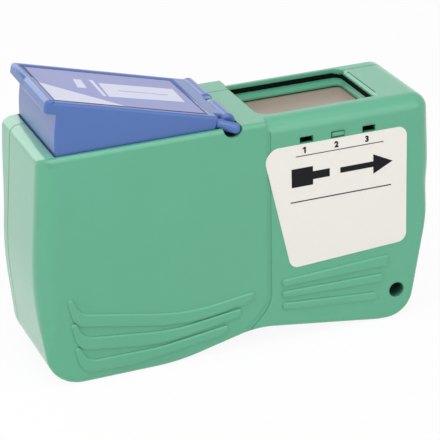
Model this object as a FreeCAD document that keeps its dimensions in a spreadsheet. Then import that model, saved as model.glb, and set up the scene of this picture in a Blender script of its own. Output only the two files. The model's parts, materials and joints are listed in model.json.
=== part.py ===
import FreeCAD, Part
import Sketcher
import math
import os
import re

# Hand-held cleaning cassette for fibre connectors. Millimetres, X to the right, Y to the back, Z up.
# Pressing the lever turns a sector. The sector drives the take-up reel, which pulls fresh tape
# over the pad, and through an idler it draws the shutter away from the window.

SIZES = [
    # Casing
    ("wall", 1.6, "thickness of the casing's walls"),
    ("left_margin", 8.3, "left end to the lever opening"),
    ("hinge_to_window", 10.7, "lever hinge to the window's left edge"),
    ("window_length", 38.3, "window, left to right"),
    ("right_margin", 16.3, "window to the right end"),
    ("floor_room", 5.1, "underside to the largest wheel"),
    ("top_left_inset", 3.6, "left end's lean at the top"),
    ("left_bulge_height", 33, "height of the left end's widest place"),
    ("bulge_overrun", 0.3, "left bend's corner beyond the end that it rounds to"),
    ("left_foot_inset", 2.25, "left end's lean at the foot"),
    ("left_foot_length", 40.5, "length of the left foot"),
    ("waist_from_left", 68.8, "left end to the waist"),
    ("waist_rise", 6.1, "height of the waist over the feet"),
    ("right_foot_inset", 7.4, "right end's lean at the foot"),
    ("right_foot_length", 10.2, "length of the right foot"),
    ("right_low_inset", 1.95, "right end's lean at its lower bend"),
    ("right_low_height", 30, "height of the right end's lower bend"),
    ("right_bulge_height", 50, "height of the right end's widest place"),
    ("top_right_inset", 0.8, "right end's lean at the top"),
    ("top_left_radius", 3, "top left corner"),
    ("bulge_radius", 110, "bend of the left end"),
    ("corner_radius", 11, "lower left corner"),
    ("foot_radius", 60, "bend behind the left foot"),
    ("waist_radius", 30, "bend at the waist"),
    ("heel_radius", 20, "bend before the right foot"),
    ("right_corner_radius", 9, "lower right corner"),
    ("flank_radius", 60, "bends of the right end"),
    ("top_right_radius", 5, "top right corner"),
    ("edge_radius", 1.4, "rounding of the front's edge along the lever and along the underside"),
    ("end_edge_radius", 5.5, "broad rounding of the front's left edge"),
    ("crown_radius", 4.5, "broad rounding of the front's edge beside the window"),
    ("back_edge_radius", 2, "rounding of the back's edges"),
    ("back_end_radius", 6.5, "broad rounding of the back's left edge"),
    ("least_radius", 0.3, "smallest corner of a hollow"),
    ("inner_step", 2, "hollow's step behind the broad roundings"),
    ("seam", 0.3, "groove between the two covers, across and deep"),
    ("lobe_margin", 8.2, "lever hinge to the end of the deep lobe, less the barrel"),
    # Window, slots, strap hole, crease and grips
    ("window_front", 6, "front to the window"),
    ("rear_rim", 2.85, "window to the back"),
    ("rim_radius", 1.3, "rounding of the window's right edge"),
    ("window_radius", 4.5, "window's front left corner"),
    ("window_rear_radius", 3, "window's rear right corner"),
    ("frame_lap", 1.2, "window frame in from the window's edges"),
    ("frame_ledge", 0.7, "width of the window frame's inner step"),
    ("frame_flange", 1.6, "window frame under the casing's top"),
    ("frame_drop", 2.9, "top to the window frame"),
    ("frame_step_drop", 3.7, "top to the window frame's inner step"),
    ("frame_ridge", 1.2, "ridge that carries the window frame under the top"),
    ("frame_radius", 2, "corners of the window frame's hole"),
    ("groove_offset", 1.3, "window to the groove at its right"),
    ("groove_width", 0.4, "that groove, across"),
    ("groove_depth", 0.35, "that groove, deep"),
    ("groove_start", 2.6, "window's front edge to that groove"),
    ("groove_length", 19.9, "that groove, front to back"),
    ("notch_offset", 2.4, "lever opening to the first notch in the rear rim"),
    ("notch_pitch", 1.9, "notches, middle to middle"),
    ("notch_width", 0.7, "notch in the rear rim, across"),
    ("notch_depth", 0.6, "notch in the rear rim, deep"),
    ("slot_pitch", 10.25, "type slots, middle to middle"),
    ("slot_length", 4.3, "type slot, left to right"),
    ("slot_height", 2, "type slot, bottom to top"),
    ("slot_drop", 7.6, "top to the type slots"),
    ("slot_start", 12.6, "window's left edge to the first type slot"),
    ("strap_radius", 2.5, "strap hole"),
    ("strap_from_right", 12, "right end to the strap hole"),
    ("strap_height", 9.6, "underside to the strap hole"),
    ("crease_width", 1.2, "groove between the two halves of the front"),
    ("crease_depth", 0.25, "depth of that groove"),
    ("crease_lean", 1, "that groove's lean to the left at its bend"),
    ("crease_bend_height", 14, "underside to the bend of that groove"),
    ("crease_bend_radius", 9, "that bend"),
    ("tab_gap", 0.25, "type slot round its tab"),
    ("tab_rise", 0.3, "tab over the front"),
    ("rib_height", 0.7, "grip ribs over the front"),
    ("rib_rounding", 0.5, "rounding of the grip ribs"),
    ("rib_end_radius", 0.9, "ends of the grip ribs"),
    ("grip_inset", 8.4, "left end to the top grip rib"),
    ("grip_lean", 0.7, "each further grip rib starts this much to the right"),
    ("grip_rise", 28.4, "underside to the tip of the top grip rib"),
    ("grip_pitch", 8, "grip ribs' step at the tips"),
    ("grip_tip_width", 2, "tip of a grip rib"),
    ("grip_bend_fall", 5.1, "tip of a grip rib to the bend of its upper edge"),
    ("grip_bend_radius", 5, "bend of a grip rib"),
    ("grip_neck", 3.9, "grip rib at its bend"),
    ("grip_sag_reach", 46, "left end to the lowest place of the top grip rib"),
    ("grip_sag_step", 4.5, "each further grip rib is lowest this much to the left"),
    ("grip_sag_rise", 16.55, "underside to the upper edge of the top grip rib there"),
    ("grip_fan_pitch", 4.7, "grip ribs' step there and at their tails"),
    ("grip_sag_radius", 60, "long bend of a grip rib"),
    ("grip_thickness", 4.3, "grip rib at its lowest place"),
    ("grip_tail_reach", 68.7, "left end to the tail of the top grip rib"),
    ("grip_tail_rise", 19.3, "underside to the tail of the top grip rib"),
    ("grip_tail_thickness", 3.2, "tail of a grip rib"),
    ("grip_tail_slant", 1.6, "lean of a grip rib's tail"),
    ("small_grip_start", 3.7, "window's left edge to the small grip ribs"),
    ("small_grip_length", 36.6, "length of the top small grip rib"),
    ("small_grip_drop", 52.2, "top to the small grip ribs"),
    ("small_grip_pitch", 3.9, "small grip ribs' step at the left"),
    ("small_grip_fan", 2.2, "each further small grip rib falls this much more to the right"),
    ("small_grip_shortening", 2.2, "each further small grip rib is shorter by this"),
    ("small_grip_thickness", 2.4, "small grip rib at its left"),
    ("small_grip_lift", 1.6, "top small grip rib's rise to the right"),
    ("small_grip_flare", 1.5, "top small grip rib is thicker by this at its right"),
    # Front label
    ("label_thickness", 0.2, "printed film"),
    ("label_offset", 1.8, "label's upper left corner, left of the window"),
    ("label_drop", 8.8, "top to the label"),
    ("label_width", 47.5, "label along its upper edge"),
    ("label_height", 38.25, "label at its right edge"),
    ("label_slant", 8.65, "lean of the label's left edge"),
    ("label_lead_radius", 4.5, "label's upper left corner"),
    ("label_tail", 2, "label's lower edge, fall to the left"),
    ("label_radius", 3, "label corners"),
    # Lever
    ("lever_radius", 53.9, "hinge to the lever's end wall"),
    ("lever_gap", 0.4, "gap round the lever"),
    ("lever_width", 37, "lever, front to back"),
    ("rest_angle", 14.7, "lever's tilt at rest"),
    ("press_angle", 12.5, "lever's travel"),
    ("plate_height", 1.9, "lever's top over its hinge"),
    ("plate_thickness", 1.8, "lever's top plate"),
    ("lever_wall", 1.6, "lever's side walls"),
    ("skirt_drop", 3, "lever's side walls below its hinge"),
    ("lip_length", 3.5, "lip beyond the lever's end wall"),
    ("lip_height", 3.8, "lip, top to bottom"),
    ("lip_pad_width", 22, "thicker front run of the lip"),
    ("lip_pad_rise", 0.5, "that run, over the rest of the lip"),
    ("end_wall", 1.9, "lever's end wall at its top"),
    ("end_wall_foot", 4.8, "lever's end wall at its foot"),
    ("recess_depth", 0.4, "label recess in the lever"),
    ("recess_rim", 2.3, "rim round that recess"),
    ("recess_from_hinge", 6.4, "hinge to that recess"),
    ("barrel_radius", 2.5, "hinge barrel"),
    ("rear_barrel_radius", 2.1, "thinner rear run of the hinge barrel"),
    ("barrel_collar", 16.5, "thick rear run of the hinge barrel"),
    ("barrel_inset", 2.2, "lever's front to the hinge barrel"),
    ("barrel_rounding", 1, "front end of the hinge barrel"),
    ("nose_start", 4.8, "hinge to the root of the nose, along"),
    ("nose_depth", 2.5, "lever's front to the root of the nose"),
    ("nose_rise", 0.6, "root of the nose over the hinge"),
    ("nose_length", 6.9, "nose, root to tip"),
    ("nose_yaw", 28, "nose's turn to the front, degrees"),
    ("nose_room", 4.2, "hinge to the end of the lever's front wall"),
    ("nose_room_depth", 3.4, "that cut-out, front to back"),
    ("nose_notch", 3, "notch for the nose in the front's edge"),
    ("nose_radius", 1.6, "rounded nose at the lever's front hinge corner"),
    ("pivot_rise", 0.5, "hinge over the casing's top"),
    ("pin_radius", 1.2, "lever pin"),
    ("pin_end", 4, "lever pin's ends, in from the lever's sides"),
    ("tongue_offset", 17.6, "front to the tongue that holds the lever pin"),
    ("tongue_thickness", 1.4, "that tongue, front to back"),
    ("tongue_radius", 2.1, "that tongue round the pin"),
    # Gears and reels
    ("module", 1, "tooth size of the gears"),
    ("pinion_teeth", 12, "teeth of the pinion"),
    ("wheel_teeth", 40, "teeth of the wheel"),
    ("idler_teeth", 18, "teeth of the idler"),
    ("sector_teeth", 5, "teeth of the lever's sector"),
    ("backlash", 0.3, "play between teeth"),
    ("tooth_root", 1.25, "teeth under their pitch line, in modules"),
    ("tooth_tip", 0.9, "teeth over their pitch line, in modules"),
    ("hinge_to_takeup", 27, "hinge to the take-up shaft, along"),
    ("idler_offset", 6, "idler's place left of the take-up shaft"),
    ("gear_width", 1.8, "gears, front to back"),
    ("shaft_radius", 1.5, "reel shafts and idler pin"),
    ("fit", 0.05, "running fit on a shaft"),
    ("running_gap", 0.4, "gap beside what turns"),
    ("boss_height", 4.2, "front bosses"),
    ("boss_wall", 2.5, "wall of a boss"),
    ("rear_boss_height", 1, "rear bosses"),
    ("flange", 1.2, "reel flanges"),
    ("side_gap", 0.4, "tape to flange"),
    ("tape_width", 17.6, "tape, front to back"),
    ("tape_thickness", 0.3, "tape"),
    ("tape_gap", 0.3, "tape to what guides it"),
    ("ratchet_width", 1.4, "ratchet ring, front to back"),
    ("ratchet_radius", 8, "ratchet ring over its teeth"),
    ("ratchet_teeth", 16, "teeth of the ratchet ring"),
    ("ratchet_depth", 1.2, "depth of its teeth"),
    ("supply_flange_radius", 23, "supply reel"),
    ("supply_hub_radius", 8, "supply reel's hub"),
    ("supply_roll_radius", 18, "fresh tape"),
    ("takeup_flange_radius", 17, "take-up reel"),
    ("takeup_hub_radius", 6, "take-up reel's hub"),
    ("takeup_roll_radius", 10, "used tape"),
    ("reel_wall_gap", 7, "supply reel to the left wall"),
    ("washer_thickness", 0.7, "brake washer"),
    ("washer_radius", 6, "brake washer"),
    ("pawl_thickness", 1.1, "pawl and stop leaf, front to back"),
    ("pawl_pin_radius", 0.8, "pawl pin"),
    ("pawl_reach", 12.5, "take-up shaft to the pawl pin"),
    ("pawl_bearing", 140, "bearing of the pawl pin from the take-up shaft, degrees"),
    ("pawl_sweep", 34, "pawl's arm about the take-up shaft, degrees"),
    ("pawl_tip", 1.4, "pawl's tip"),
    ("leaf_thickness", 0.6, "stop leaf"),
    # Shutter, platen and guides
    ("shutter_drop", 5, "top to the shutter"),
    ("shutter_thickness", 1.2, "shutter"),
    ("shutter_overlap", 1.2, "shutter beyond the window"),
    ("rack_back", 1.6, "rack over its teeth"),
    ("tape_drop", 2.6, "shutter to the tape"),
    ("pad_thickness", 1.2, "platen pad"),
    ("pad_inset", 1, "platen pad in from the holder's edge"),
    ("holder_thickness", 2.4, "platen holder"),
    ("holder_inset", 2, "platen holder in from the window's ends"),
    ("lug_half_width", 4, "lug that holds the idler pin"),
    ("roller_radius", 2.5, "guide rollers"),
    ("roller_offset", 2, "guide rollers beyond the window's ends"),
    ("guide_pin_radius", 1, "guide pins"),
    # Spring and screws
    ("spring_radius", 2.2, "return spring, to the wire's middle"),
    ("spring_wire", 0.35, "return spring's wire, radius"),
    ("spring_turns", 6, "turns of the return spring"),
    ("spring_from_hinge", 14, "hinge to the return spring"),
    ("shelf_drop", 14, "top to the return spring's shelf"),
    ("shelf_thickness", 1.6, "that shelf"),
    ("screw_radius", 1.2, "screw shanks"),
    ("screw_head_radius", 2.4, "screw heads"),
    ("screw_head_height", 1.6, "screw heads"),
    ("screw_length", 12, "screws in the front bosses"),
    ("screw_boss_wall", 1.8, "wall of a screw boss"),
    ("left_screw_inset", 5.2, "left wall to the upper left screw"),
    ("left_screw_drop", 2.3, "top of the supply reel to that screw"),
    ("foot_screw_inset", 6.2, "foot of the left end to the lower left screw"),
    ("foot_screw_rise", 6.6, "floor to that screw"),
    ("waist_screw_rise", 6.2, "floor at the waist to the waist screw"),
    ("right_screw_inset", 4.6, "right wall to the upper right screw"),
    ("right_screw_rise", 2.4, "idler to that screw"),
]

# Places worked out from the sizes.
PLACES = {
    "length": "left_margin + lever_gap + lever_radius + hinge_to_window + window_length + right_margin",
    "left": "-length / 2",
    "right": "length / 2",
    "pivot_x": "left + left_margin + lever_gap + lever_radius",
    "opening_left": "left + left_margin",
    "opening_right": "pivot_x + barrel_radius + lever_gap",
    "window_left": "pivot_x + hinge_to_window",
    "window_right": "window_left + window_length",
    "lobe_end": "opening_right + lobe_margin",
    "waist_x": "left + waist_from_left",
    "takeup_x": "pivot_x + hinge_to_takeup",
    "idler_x": "takeup_x - idler_offset",
    "supply_x": "left + wall + reel_wall_gap + supply_flange_radius",
    "lobe_depth": "lever_width + 2 * (lever_gap + wall)",
    "front": "(rib_height - lobe_depth) / 2",
    "back": "front + lobe_depth",
    "lever_front": "front + wall + lever_gap",
    "lever_back": "lever_front + lever_width",
    "reel_front": "front + wall + boss_height + running_gap",
    "tape_front": "reel_front + flange + side_gap",
    "tape_back": "tape_front + tape_width",
    "reel_back": "tape_back + side_gap + flange",
    "ratchet_back": "reel_back + ratchet_width",
    "wheel_front": "ratchet_back + running_gap",
    "wheel_back": "wheel_front + gear_width",
    "sector_front": "wheel_back + running_gap",
    "sector_back": "sector_front + gear_width",
    "pinion_back": "sector_back + running_gap / 2",
    "boss_front": "pinion_back + running_gap",
    "right_inner": "boss_front + rear_boss_height",
    "right_back": "right_inner + wall",
    "lobe_inner": "back - wall",
    "parting": "sector_front",
    "window_near": "front + window_front",
    "window_far": "right_back - rear_rim",
    "groove_x": "window_right + groove_offset",
    "groove_end": "window_near + groove_start + groove_length",
    "pinion_r": "module * pinion_teeth / 2",
    "wheel_r": "module * wheel_teeth / 2",
    "idler_r": "module * idler_teeth / 2",
    "reel_z": "floor_room + max(supply_flange_radius; wheel_r + 3 * module)",
    "idler_z": "reel_z + sqrt((wheel_r + idler_r)^2 - idler_offset^2)",
    "rack_pitch_z": "idler_z + idler_r",
    "rack_root_z": "rack_pitch_z + tooth_root * module",
    "shutter_top": "rack_root_z + rack_back",
    "shutter_low": "shutter_top - shutter_thickness",
    "top": "shutter_top + shutter_drop",
    "pivot_z": "top + pivot_rise",
    "tape_top": "shutter_low - tape_drop",
    "tape_low": "tape_top - tape_thickness",
    "pad_top": "tape_low - tape_gap",
    "holder_top": "pad_top - pad_thickness",
    "holder_low": "holder_top - holder_thickness",
    "holder_left": "window_left + holder_inset",
    "holder_right": "window_right - holder_inset",
    "roller_z": "tape_low - tape_gap - roller_radius",
    "roller_left_x": "window_left - roller_offset",
    "roller_right_x": "window_right + roller_offset",
    "tongue_front": "front + tongue_offset",
    "tongue_back": "tongue_front + tongue_thickness",
    "strap_x": "right - strap_from_right",
    "bore_r": "shaft_radius + fit",
    "boss_r": "shaft_radius + boss_wall",
    "guide_boss_r": "guide_pin_radius + boss_wall",
    "screw_boss_r": "screw_radius + screw_boss_wall",
    "spring_x": "pivot_x - spring_from_hinge",
    "spring_y": "lever_back - lever_wall - running_gap - spring_wire - spring_radius",
    "shelf_z": "top - shelf_drop",
}

# Screw bosses, as places across and up. The two on the left stand in the deep lobe.
SCREW_PLACES = {
    "screw_upper_left": (
        "left + wall + left_screw_inset", "reel_z + supply_flange_radius - left_screw_drop", "back",
    ),
    "screw_lower_left": ("left + left_foot_inset + foot_screw_inset", "wall + foot_screw_rise", "back"),
    "screw_waist": (
        "(supply_x + supply_flange_radius + takeup_x - wheel_r) / 2",
        "waist_rise + wall + waist_screw_rise",
        "back",
    ),
    "screw_upper_right": ("right - wall - right_screw_inset", "idler_z + right_screw_rise", "right_back"),
}

doc = FreeCAD.newDocument("fibre_cleaning_cassette")
sheet = doc.addObject("Spreadsheet::Sheet", "Sizes")
for row, (alias, value, note) in enumerate(SIZES, start=1):
    sheet.set(f"A{row}", note)
    sheet.set(f"B{row}", str(value))
    sheet.setAlias(f"B{row}", alias)
doc.recompute()

ALIASES = {alias for alias, value, note in SIZES}


def bind(text):
    """Expression text with each size and place name replaced by its cells."""
    def swap(match):
        word = match.group(0)
        if word in PLACES:
            return "(" + bind(PLACES[word]) + ")"
        if word in ALIASES:
            return "Sizes." + word
        return word
    return re.sub(r"[a-z_]+", swap, str(text))


gauge = doc.addObject("App::FeaturePython", "gauge")


def number(text):
    """The value that an expression has now."""
    return float(gauge.evalExpression(bind(text)))


def tie(piece, **expressions):
    """Bind properties of a piece to expressions, such as Length or Radius."""
    for name, text in expressions.items():
        piece.setExpression(name, bind(text))


def place(piece, x="0", y="0", z="0"):
    """Bind a piece's position."""
    for axis, text in zip("xyz", (x, y, z)):
        piece.setExpression("Placement.Base." + axis, bind(text))


def label(piece, node):
    """Give a finished piece its node name."""
    piece.Label = node
    NODES.append(piece)


NODES = []
Y_AXIS_TURN = FreeCAD.Rotation(FreeCAD.Vector(1, 0, 0), -90)


def rod(name, x, z, radius, near, far):
    """A cylinder along Y."""
    piece = doc.addObject("Part::Cylinder", name)
    piece.Placement.Rotation = Y_AXIS_TURN
    tie(piece, Radius=radius, Height=f"({far}) - ({near})")
    place(piece, x, near, z)
    return piece


def block(name, x, y, z):
    """A box between pairs of places along X, Y and Z."""
    piece = doc.addObject("Part::Box", name)
    tie(
        piece,
        Length=f"({x[1]}) - ({x[0]})",
        Width=f"({y[1]}) - ({y[0]})",
        Height=f"({z[1]}) - ({z[0]})",
    )
    place(piece, x[0], y[0], z[0])
    return piece


def fuse(name, pieces):
    piece = doc.addObject("Part::MultiFuse", name)
    piece.Shapes = pieces
    return piece


def cut(name, base, tools):
    tool = tools[0] if len(tools) == 1 else fuse(name + "_cuts", tools)
    piece = doc.addObject("Part::Cut", name)
    piece.Base = base
    piece.Tool = tool
    return piece


def fix(sketch, shape, point, x, z):
    """Hold a point of a sketch at bound distances from the sketch's origin."""
    for kind, text in (("DistanceX", x), ("DistanceY", z)):
        index = sketch.addConstraint(Sketcher.Constraint(kind, -1, 1, shape, point, number(text)))
        sketch.setExpression(f"Constraints[{index}]", bind(text))


def round_corner(sketch, line_in, line_out, corner, before, after, radius):
    """Round one corner of an outline by a tangent arc and keep the corner as a point."""
    size = number(radius)
    to_before = (before - corner).normalize()
    to_after = (after - corner).normalize()
    half = to_before.getAngle(to_after) / 2
    reach = size / math.tan(half)
    centre = corner + (to_before + to_after).normalize() * (size / math.sin(half))
    starts = corner + to_before * reach
    ends = corner + to_after * reach
    turn_left = (corner - before).cross(after - corner).z > 0
    first, last = (starts, ends) if turn_left else (ends, starts)
    angles = [math.atan2(p.y - centre.y, p.x - centre.x) for p in (first, last)]
    circle = Part.Circle(centre, FreeCAD.Vector(0, 0, 1), size)
    arc = sketch.addGeometry(Part.ArcOfCircle(circle, angles[0], angles[1]), False)
    arc_start, arc_end = (1, 2) if turn_left else (2, 1)
    sketch.addConstraint(Sketcher.Constraint("Tangent", line_in, 2, arc, arc_start))
    sketch.addConstraint(Sketcher.Constraint("Tangent", arc, arc_end, line_out, 1))
    index = sketch.addConstraint(Sketcher.Constraint("Radius", arc, size))
    sketch.setExpression(f"Constraints[{index}]", bind(radius))
    mark = sketch.addGeometry(Part.Point(corner), True)
    sketch.addConstraint(Sketcher.Constraint("PointOnObject", mark, 1, line_in))
    sketch.addConstraint(Sketcher.Constraint("PointOnObject", mark, 1, line_out))
    return mark


def draw_outline(sketch, corners):
    """Closed outline, anticlockwise. Each corner is (x, z) or (x, z, radius)."""
    points = [FreeCAD.Vector(number(c[0]), number(c[1]), 0) for c in corners]
    count = len(points)
    reach = []
    for i, corner in enumerate(corners):
        if len(corner) < 3:
            reach.append(0)
            continue
        half = (points[i - 1] - points[i]).getAngle(points[(i + 1) % count] - points[i]) / 2
        reach.append(number(corner[2]) / math.tan(half))
    lines = []
    for i in range(count):
        after = (i + 1) % count
        along = (points[after] - points[i]).normalize()
        edge = Part.LineSegment(points[i] + along * reach[i], points[after] - along * reach[after])
        lines.append(sketch.addGeometry(edge, False))
    for i, corner in enumerate(corners):
        line_in, line_out = lines[i - 1], lines[i]
        if len(corner) < 3:
            sketch.addConstraint(Sketcher.Constraint("Coincident", line_in, 2, line_out, 1))
            fix(sketch, line_out, 1, corner[0], corner[1])
        else:
            before, after = points[i - 1], points[(i + 1) % count]
            mark = round_corner(sketch, line_in, line_out, points[i], before, after, corner[2])
            fix(sketch, mark, 1, corner[0], corner[1])


def draw_circle(sketch, x, z, radius):
    circle = Part.Circle(FreeCAD.Vector(number(x), number(z), 0), FreeCAD.Vector(0, 0, 1), number(radius))
    shape = sketch.addGeometry(circle, False)
    index = sketch.addConstraint(Sketcher.Constraint("Radius", shape, number(radius)))
    sketch.setExpression(f"Constraints[{index}]", bind(radius))
    fix(sketch, shape, 3, x, z)


def new_body(name):
    return doc.addObject("PartDesign::Body", name)


def sketch_on(body, name, plane, offset):
    """A sketch on one of the body's own planes, moved along the plane's normal."""
    sketch = body.newObject("Sketcher::SketchObject", name)
    support = next(item for item in body.Origin.OriginFeatures if item.Role == plane)
    sketch.AttachmentSupport = (support, [""])
    sketch.MapMode = "FlatFace"
    sketch.setExpression("AttachmentOffset.Base.z", bind(offset))
    return sketch


def pad(body, name, near, far, *draws):
    """Add material along Y. The plane's normal points to -Y, so it starts at the far side."""
    sketch = sketch_on(body, name + "_sketch", "XZ_Plane", f"-({far})")
    for draw, arguments in draws:
        draw(sketch, *arguments)
    feature = body.newObject("PartDesign::Pad", name)
    feature.Profile = sketch
    tie(feature, Length=f"({far}) - ({near})")
    return feature


def pocket(body, name, near, far, *draws):
    """Take material away along Y. A pocket runs against the normal, so it starts at the near side."""
    sketch = sketch_on(body, name + "_sketch", "XZ_Plane", f"-({near})")
    for draw, arguments in draws:
        draw(sketch, *arguments)
    feature = body.newObject("PartDesign::Pocket", name)
    feature.Profile = sketch
    tie(feature, Length=f"({far}) - ({near})")
    return feature


def plan_pad(body, name, low, high, corners):
    """Add material along Z from an outline in plan."""
    sketch = sketch_on(body, name + "_sketch", "XY_Plane", low)
    draw_outline(sketch, corners)
    feature = body.newObject("PartDesign::Pad", name)
    feature.Profile = sketch
    tie(feature, Length=f"({high}) - ({low})")
    return feature


def plan_pocket(body, name, low, high, corners):
    """Take material away along Z, from the high side down."""
    sketch = sketch_on(body, name + "_sketch", "XY_Plane", high)
    draw_outline(sketch, corners)
    feature = body.newObject("PartDesign::Pocket", name)
    feature.Profile = sketch
    tie(feature, Length=f"({high}) - ({low})")
    return feature


def round_loop(body, name, depth, radius):
    """Round every edge that lies in the plane across Y at a depth."""
    doc.recompute()
    base = body.Tip
    flat = number(depth)
    edges = []
    for index, edge in enumerate(base.Shape.Edges, start=1):
        box = edge.BoundBox
        if abs(box.YMin - flat) < 1e-4 and abs(box.YMax - flat) < 1e-4:
            edges.append(f"Edge{index}")
    feature = body.newObject("PartDesign::Fillet", name)
    feature.Base = (base, edges)
    tie(feature, Radius=radius)
    return feature


def circle(x, z, radius):
    return (draw_circle, (x, z, radius))


def rectangle(x_low, x_high, z_low, z_high):
    return (
        draw_outline,
        ([(x_low, z_low), (x_high, z_low), (x_high, z_high), (x_low, z_high)],),
    )


def casing_outline(inset):
    """Side outline of the casing, moved in by a distance on every side."""
    def convex(radius):
        return f"max({radius} - ({inset}); least_radius)"
    return [
        (f"left + top_left_inset + ({inset})", f"top - ({inset})", convex("top_left_radius")),
        (f"left - bulge_overrun + ({inset})", "left_bulge_height", convex("bulge_radius")),
        (f"left + left_foot_inset + ({inset})", inset, convex("corner_radius")),
        ("left + left_foot_inset + left_foot_length", inset, convex("foot_radius")),
        ("waist_x", f"waist_rise + ({inset})", f"waist_radius + ({inset})"),
        ("right - right_foot_inset - right_foot_length", inset, convex("heel_radius")),
        (f"right - right_foot_inset - ({inset})", inset, convex("right_corner_radius")),
        (f"right - right_low_inset - ({inset})", "right_low_height", convex("flank_radius")),
        (f"right - ({inset})", "right_bulge_height", convex("flank_radius")),
        (f"right - top_right_inset - ({inset})", f"top - ({inset})", convex("top_right_radius")),
    ]


def lobe_outline(inset):
    """Side outline of the deeper left lobe behind the casing."""
    return casing_outline(inset)[:4] + [
        (f"lobe_end - ({inset})", f"waist_rise + ({inset})"),
        (f"lobe_end - ({inset})", f"top - ({inset})"),
    ]


def lever_opening():
    return rectangle("opening_left", "opening_right", "top - 2 * wall - inner_step", "top + wall")


def shell_from(name, pieces):
    """A body that starts from the union of finished pieces."""
    blank = fuse(name + "_blank", pieces)
    blank.Refine = True
    doc.recompute()
    body = new_body(name)
    body.BaseFeature = blank
    return body


def on_left_end(point):
    """Whether a point lies on the left end, away from its upper corner."""
    return point.x < number("left + corner_radius / 2") and point.z < number("top - 2 * top_left_radius")


def left_front_radius(point):
    return number("end_edge_radius" if on_left_end(point) else "edge_radius")


def right_front_radius(point):
    beside_window = point.z > number("(right_low_height + right_bulge_height) / 2")
    return number("crown_radius" if beside_window else "edge_radius")


def lobe_radius(point):
    return number("back_end_radius" if on_left_end(point) else "back_edge_radius")


def round_face(name, body, depth, radius_at, skip=None):
    """A piece with the edges of its face at a depth rounded, by a radius at each end of an edge.
    Edges in the plane across X at skip stay sharp."""
    doc.recompute()
    flat = number(depth)
    edges = []
    for index, edge in enumerate(body.Shape.Edges, start=1):
        box = edge.BoundBox
        in_face = max(abs(box.YMin - flat), abs(box.YMax - flat)) < 1e-4
        sharp = skip is not None and max(abs(box.XMin - number(skip)), abs(box.XMax - number(skip))) < 1e-4
        if in_face and not sharp:
            ends = (edge.firstVertex(True).Point, edge.lastVertex(True).Point)
            edges.append((index, radius_at(ends[0]), radius_at(ends[1])))
    piece = doc.addObject("Part::Fillet", name)
    piece.Base = body
    piece.Edges = edges
    return piece


def make_front_half(side, away, radius_at):
    """One half of the front, up to the crease, with its edge rounded."""
    body = new_body(f"front_{side}")
    pad(body, f"front_{side}_outside", "front", "parting", (draw_outline, (casing_outline("0"),)))
    pocket(body, f"front_{side}_split", "front - wall", "parting + wall", away)
    return round_face(f"front_{side}_rounded", body, "front", radius_at, "window_left")


def make_front_cover():
    right_side = rectangle("window_left", "right + wall", "-wall", "top + wall")
    left_side = rectangle("left - wall", "window_left", "-wall", "top + wall")
    left_half = make_front_half("left", right_side, left_front_radius)
    right_half = make_front_half("right", left_side, right_front_radius)
    body = shell_from("front_shell", [left_half, right_half] + make_grips())
    seat = "front + wall"
    narrow = (draw_outline, (casing_outline("wall + inner_step"),))
    pocket(body, "front_hollow", seat, "parting", narrow)
    wide = (draw_outline, (casing_outline("wall"),))
    pocket(body, "front_wide_hollow", "front + wall + inner_step", "parting", wide)
    pocket(body, "front_lever_opening", seat, "parting", lever_opening())
    pocket(body, "nose_cut", "front - wall", seat, circle("pivot_x", "top", "nose_notch"))
    plan_pocket(body, "front_window", "top - 2 * wall", "top + wall", [
        ("window_left", "window_near", "window_radius"),
        ("window_right", "window_near"),
        ("window_right", "parting + wall"),
        ("window_left", "parting + wall"),
    ])
    pocket(body, "right_rim", "window_near", "parting", right_rim_outline())
    plan_pocket(body, "rim_groove", "top - groove_depth", "top + wall", [
        ("groove_x - groove_width", "window_near + groove_start"),
        ("groove_x", "window_near + groove_start"),
        ("groove_x", "groove_end"),
        ("window_right - groove_width", "groove_end"),
        ("window_right - groove_width", "groove_end - groove_width"),
        ("groove_x - groove_width", "groove_end - groove_width"),
    ])
    slots = []
    for i in range(3):
        middle = f"window_left + slot_start + {i} * slot_pitch"
        slots.append(rectangle(
            f"{middle} - slot_length / 2", f"{middle} + slot_length / 2",
            "top - slot_drop - slot_height / 2", "top - slot_drop + slot_height / 2",
        ))
    pocket(body, "type_slots", "front - wall", "front + 2 * wall", *slots)
    pocket(body, "crease", "front - wall", "front + crease_depth", crease_outline())
    around = rectangle("left - wall", "right + wall", "-wall", "top + wall")
    seam_inside = (draw_outline, (casing_outline("seam"),))
    pocket(body, "cover_seam", "parting - seam", "parting", around, seam_inside)
    add_front_bosses(body)
    tongue_draw = circle("pivot_x", "pivot_z", "tongue_radius")
    pad(body, "tongue_eye", "tongue_front", "tongue_back", tongue_draw)
    tongue_arm = rectangle("pivot_x", "opening_right + wall", "top - wall", "top")
    pad(body, "tongue_arm", "tongue_front", "tongue_back", tongue_arm)
    pin_hole = circle("pivot_x", "pivot_z", "pin_radius + fit")
    pocket(body, "tongue_hole", "tongue_front - wall", "tongue_back + wall", pin_hole)
    label(body, "front_cover")


def right_rim_outline():
    """What the rounding of the window's right edge takes away."""
    inside = "window_right - rim_radius"
    below = "top - 2 * rim_radius"
    return (draw_outline, ([
        (inside, "top + wall"),
        (inside, below),
        ("window_right", below),
        ("window_right", "top", "rim_radius"),
        ("window_right + 2 * rim_radius", "top"),
        ("window_right + 2 * rim_radius", "top + wall"),
    ],))


def crease_outline():
    """Shallow groove from the top down, bending left to the underside near the waist."""
    bend_x, bend_z = "window_left - crease_lean", "crease_bend_height"
    end_x, end_z = "window_left - crease_lean - crease_bend_height", "0"
    return (draw_outline, ([
        ("window_left", "top + wall"),
        (bend_x, bend_z, "crease_bend_radius"),
        (end_x, end_z),
        (f"{end_x} + 2 * crease_width", end_z),
        (f"{bend_x} + crease_width", f"{bend_z} - crease_width / 2", "crease_bend_radius + crease_width"),
        ("window_left + crease_width", "top + wall"),
    ],))


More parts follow.
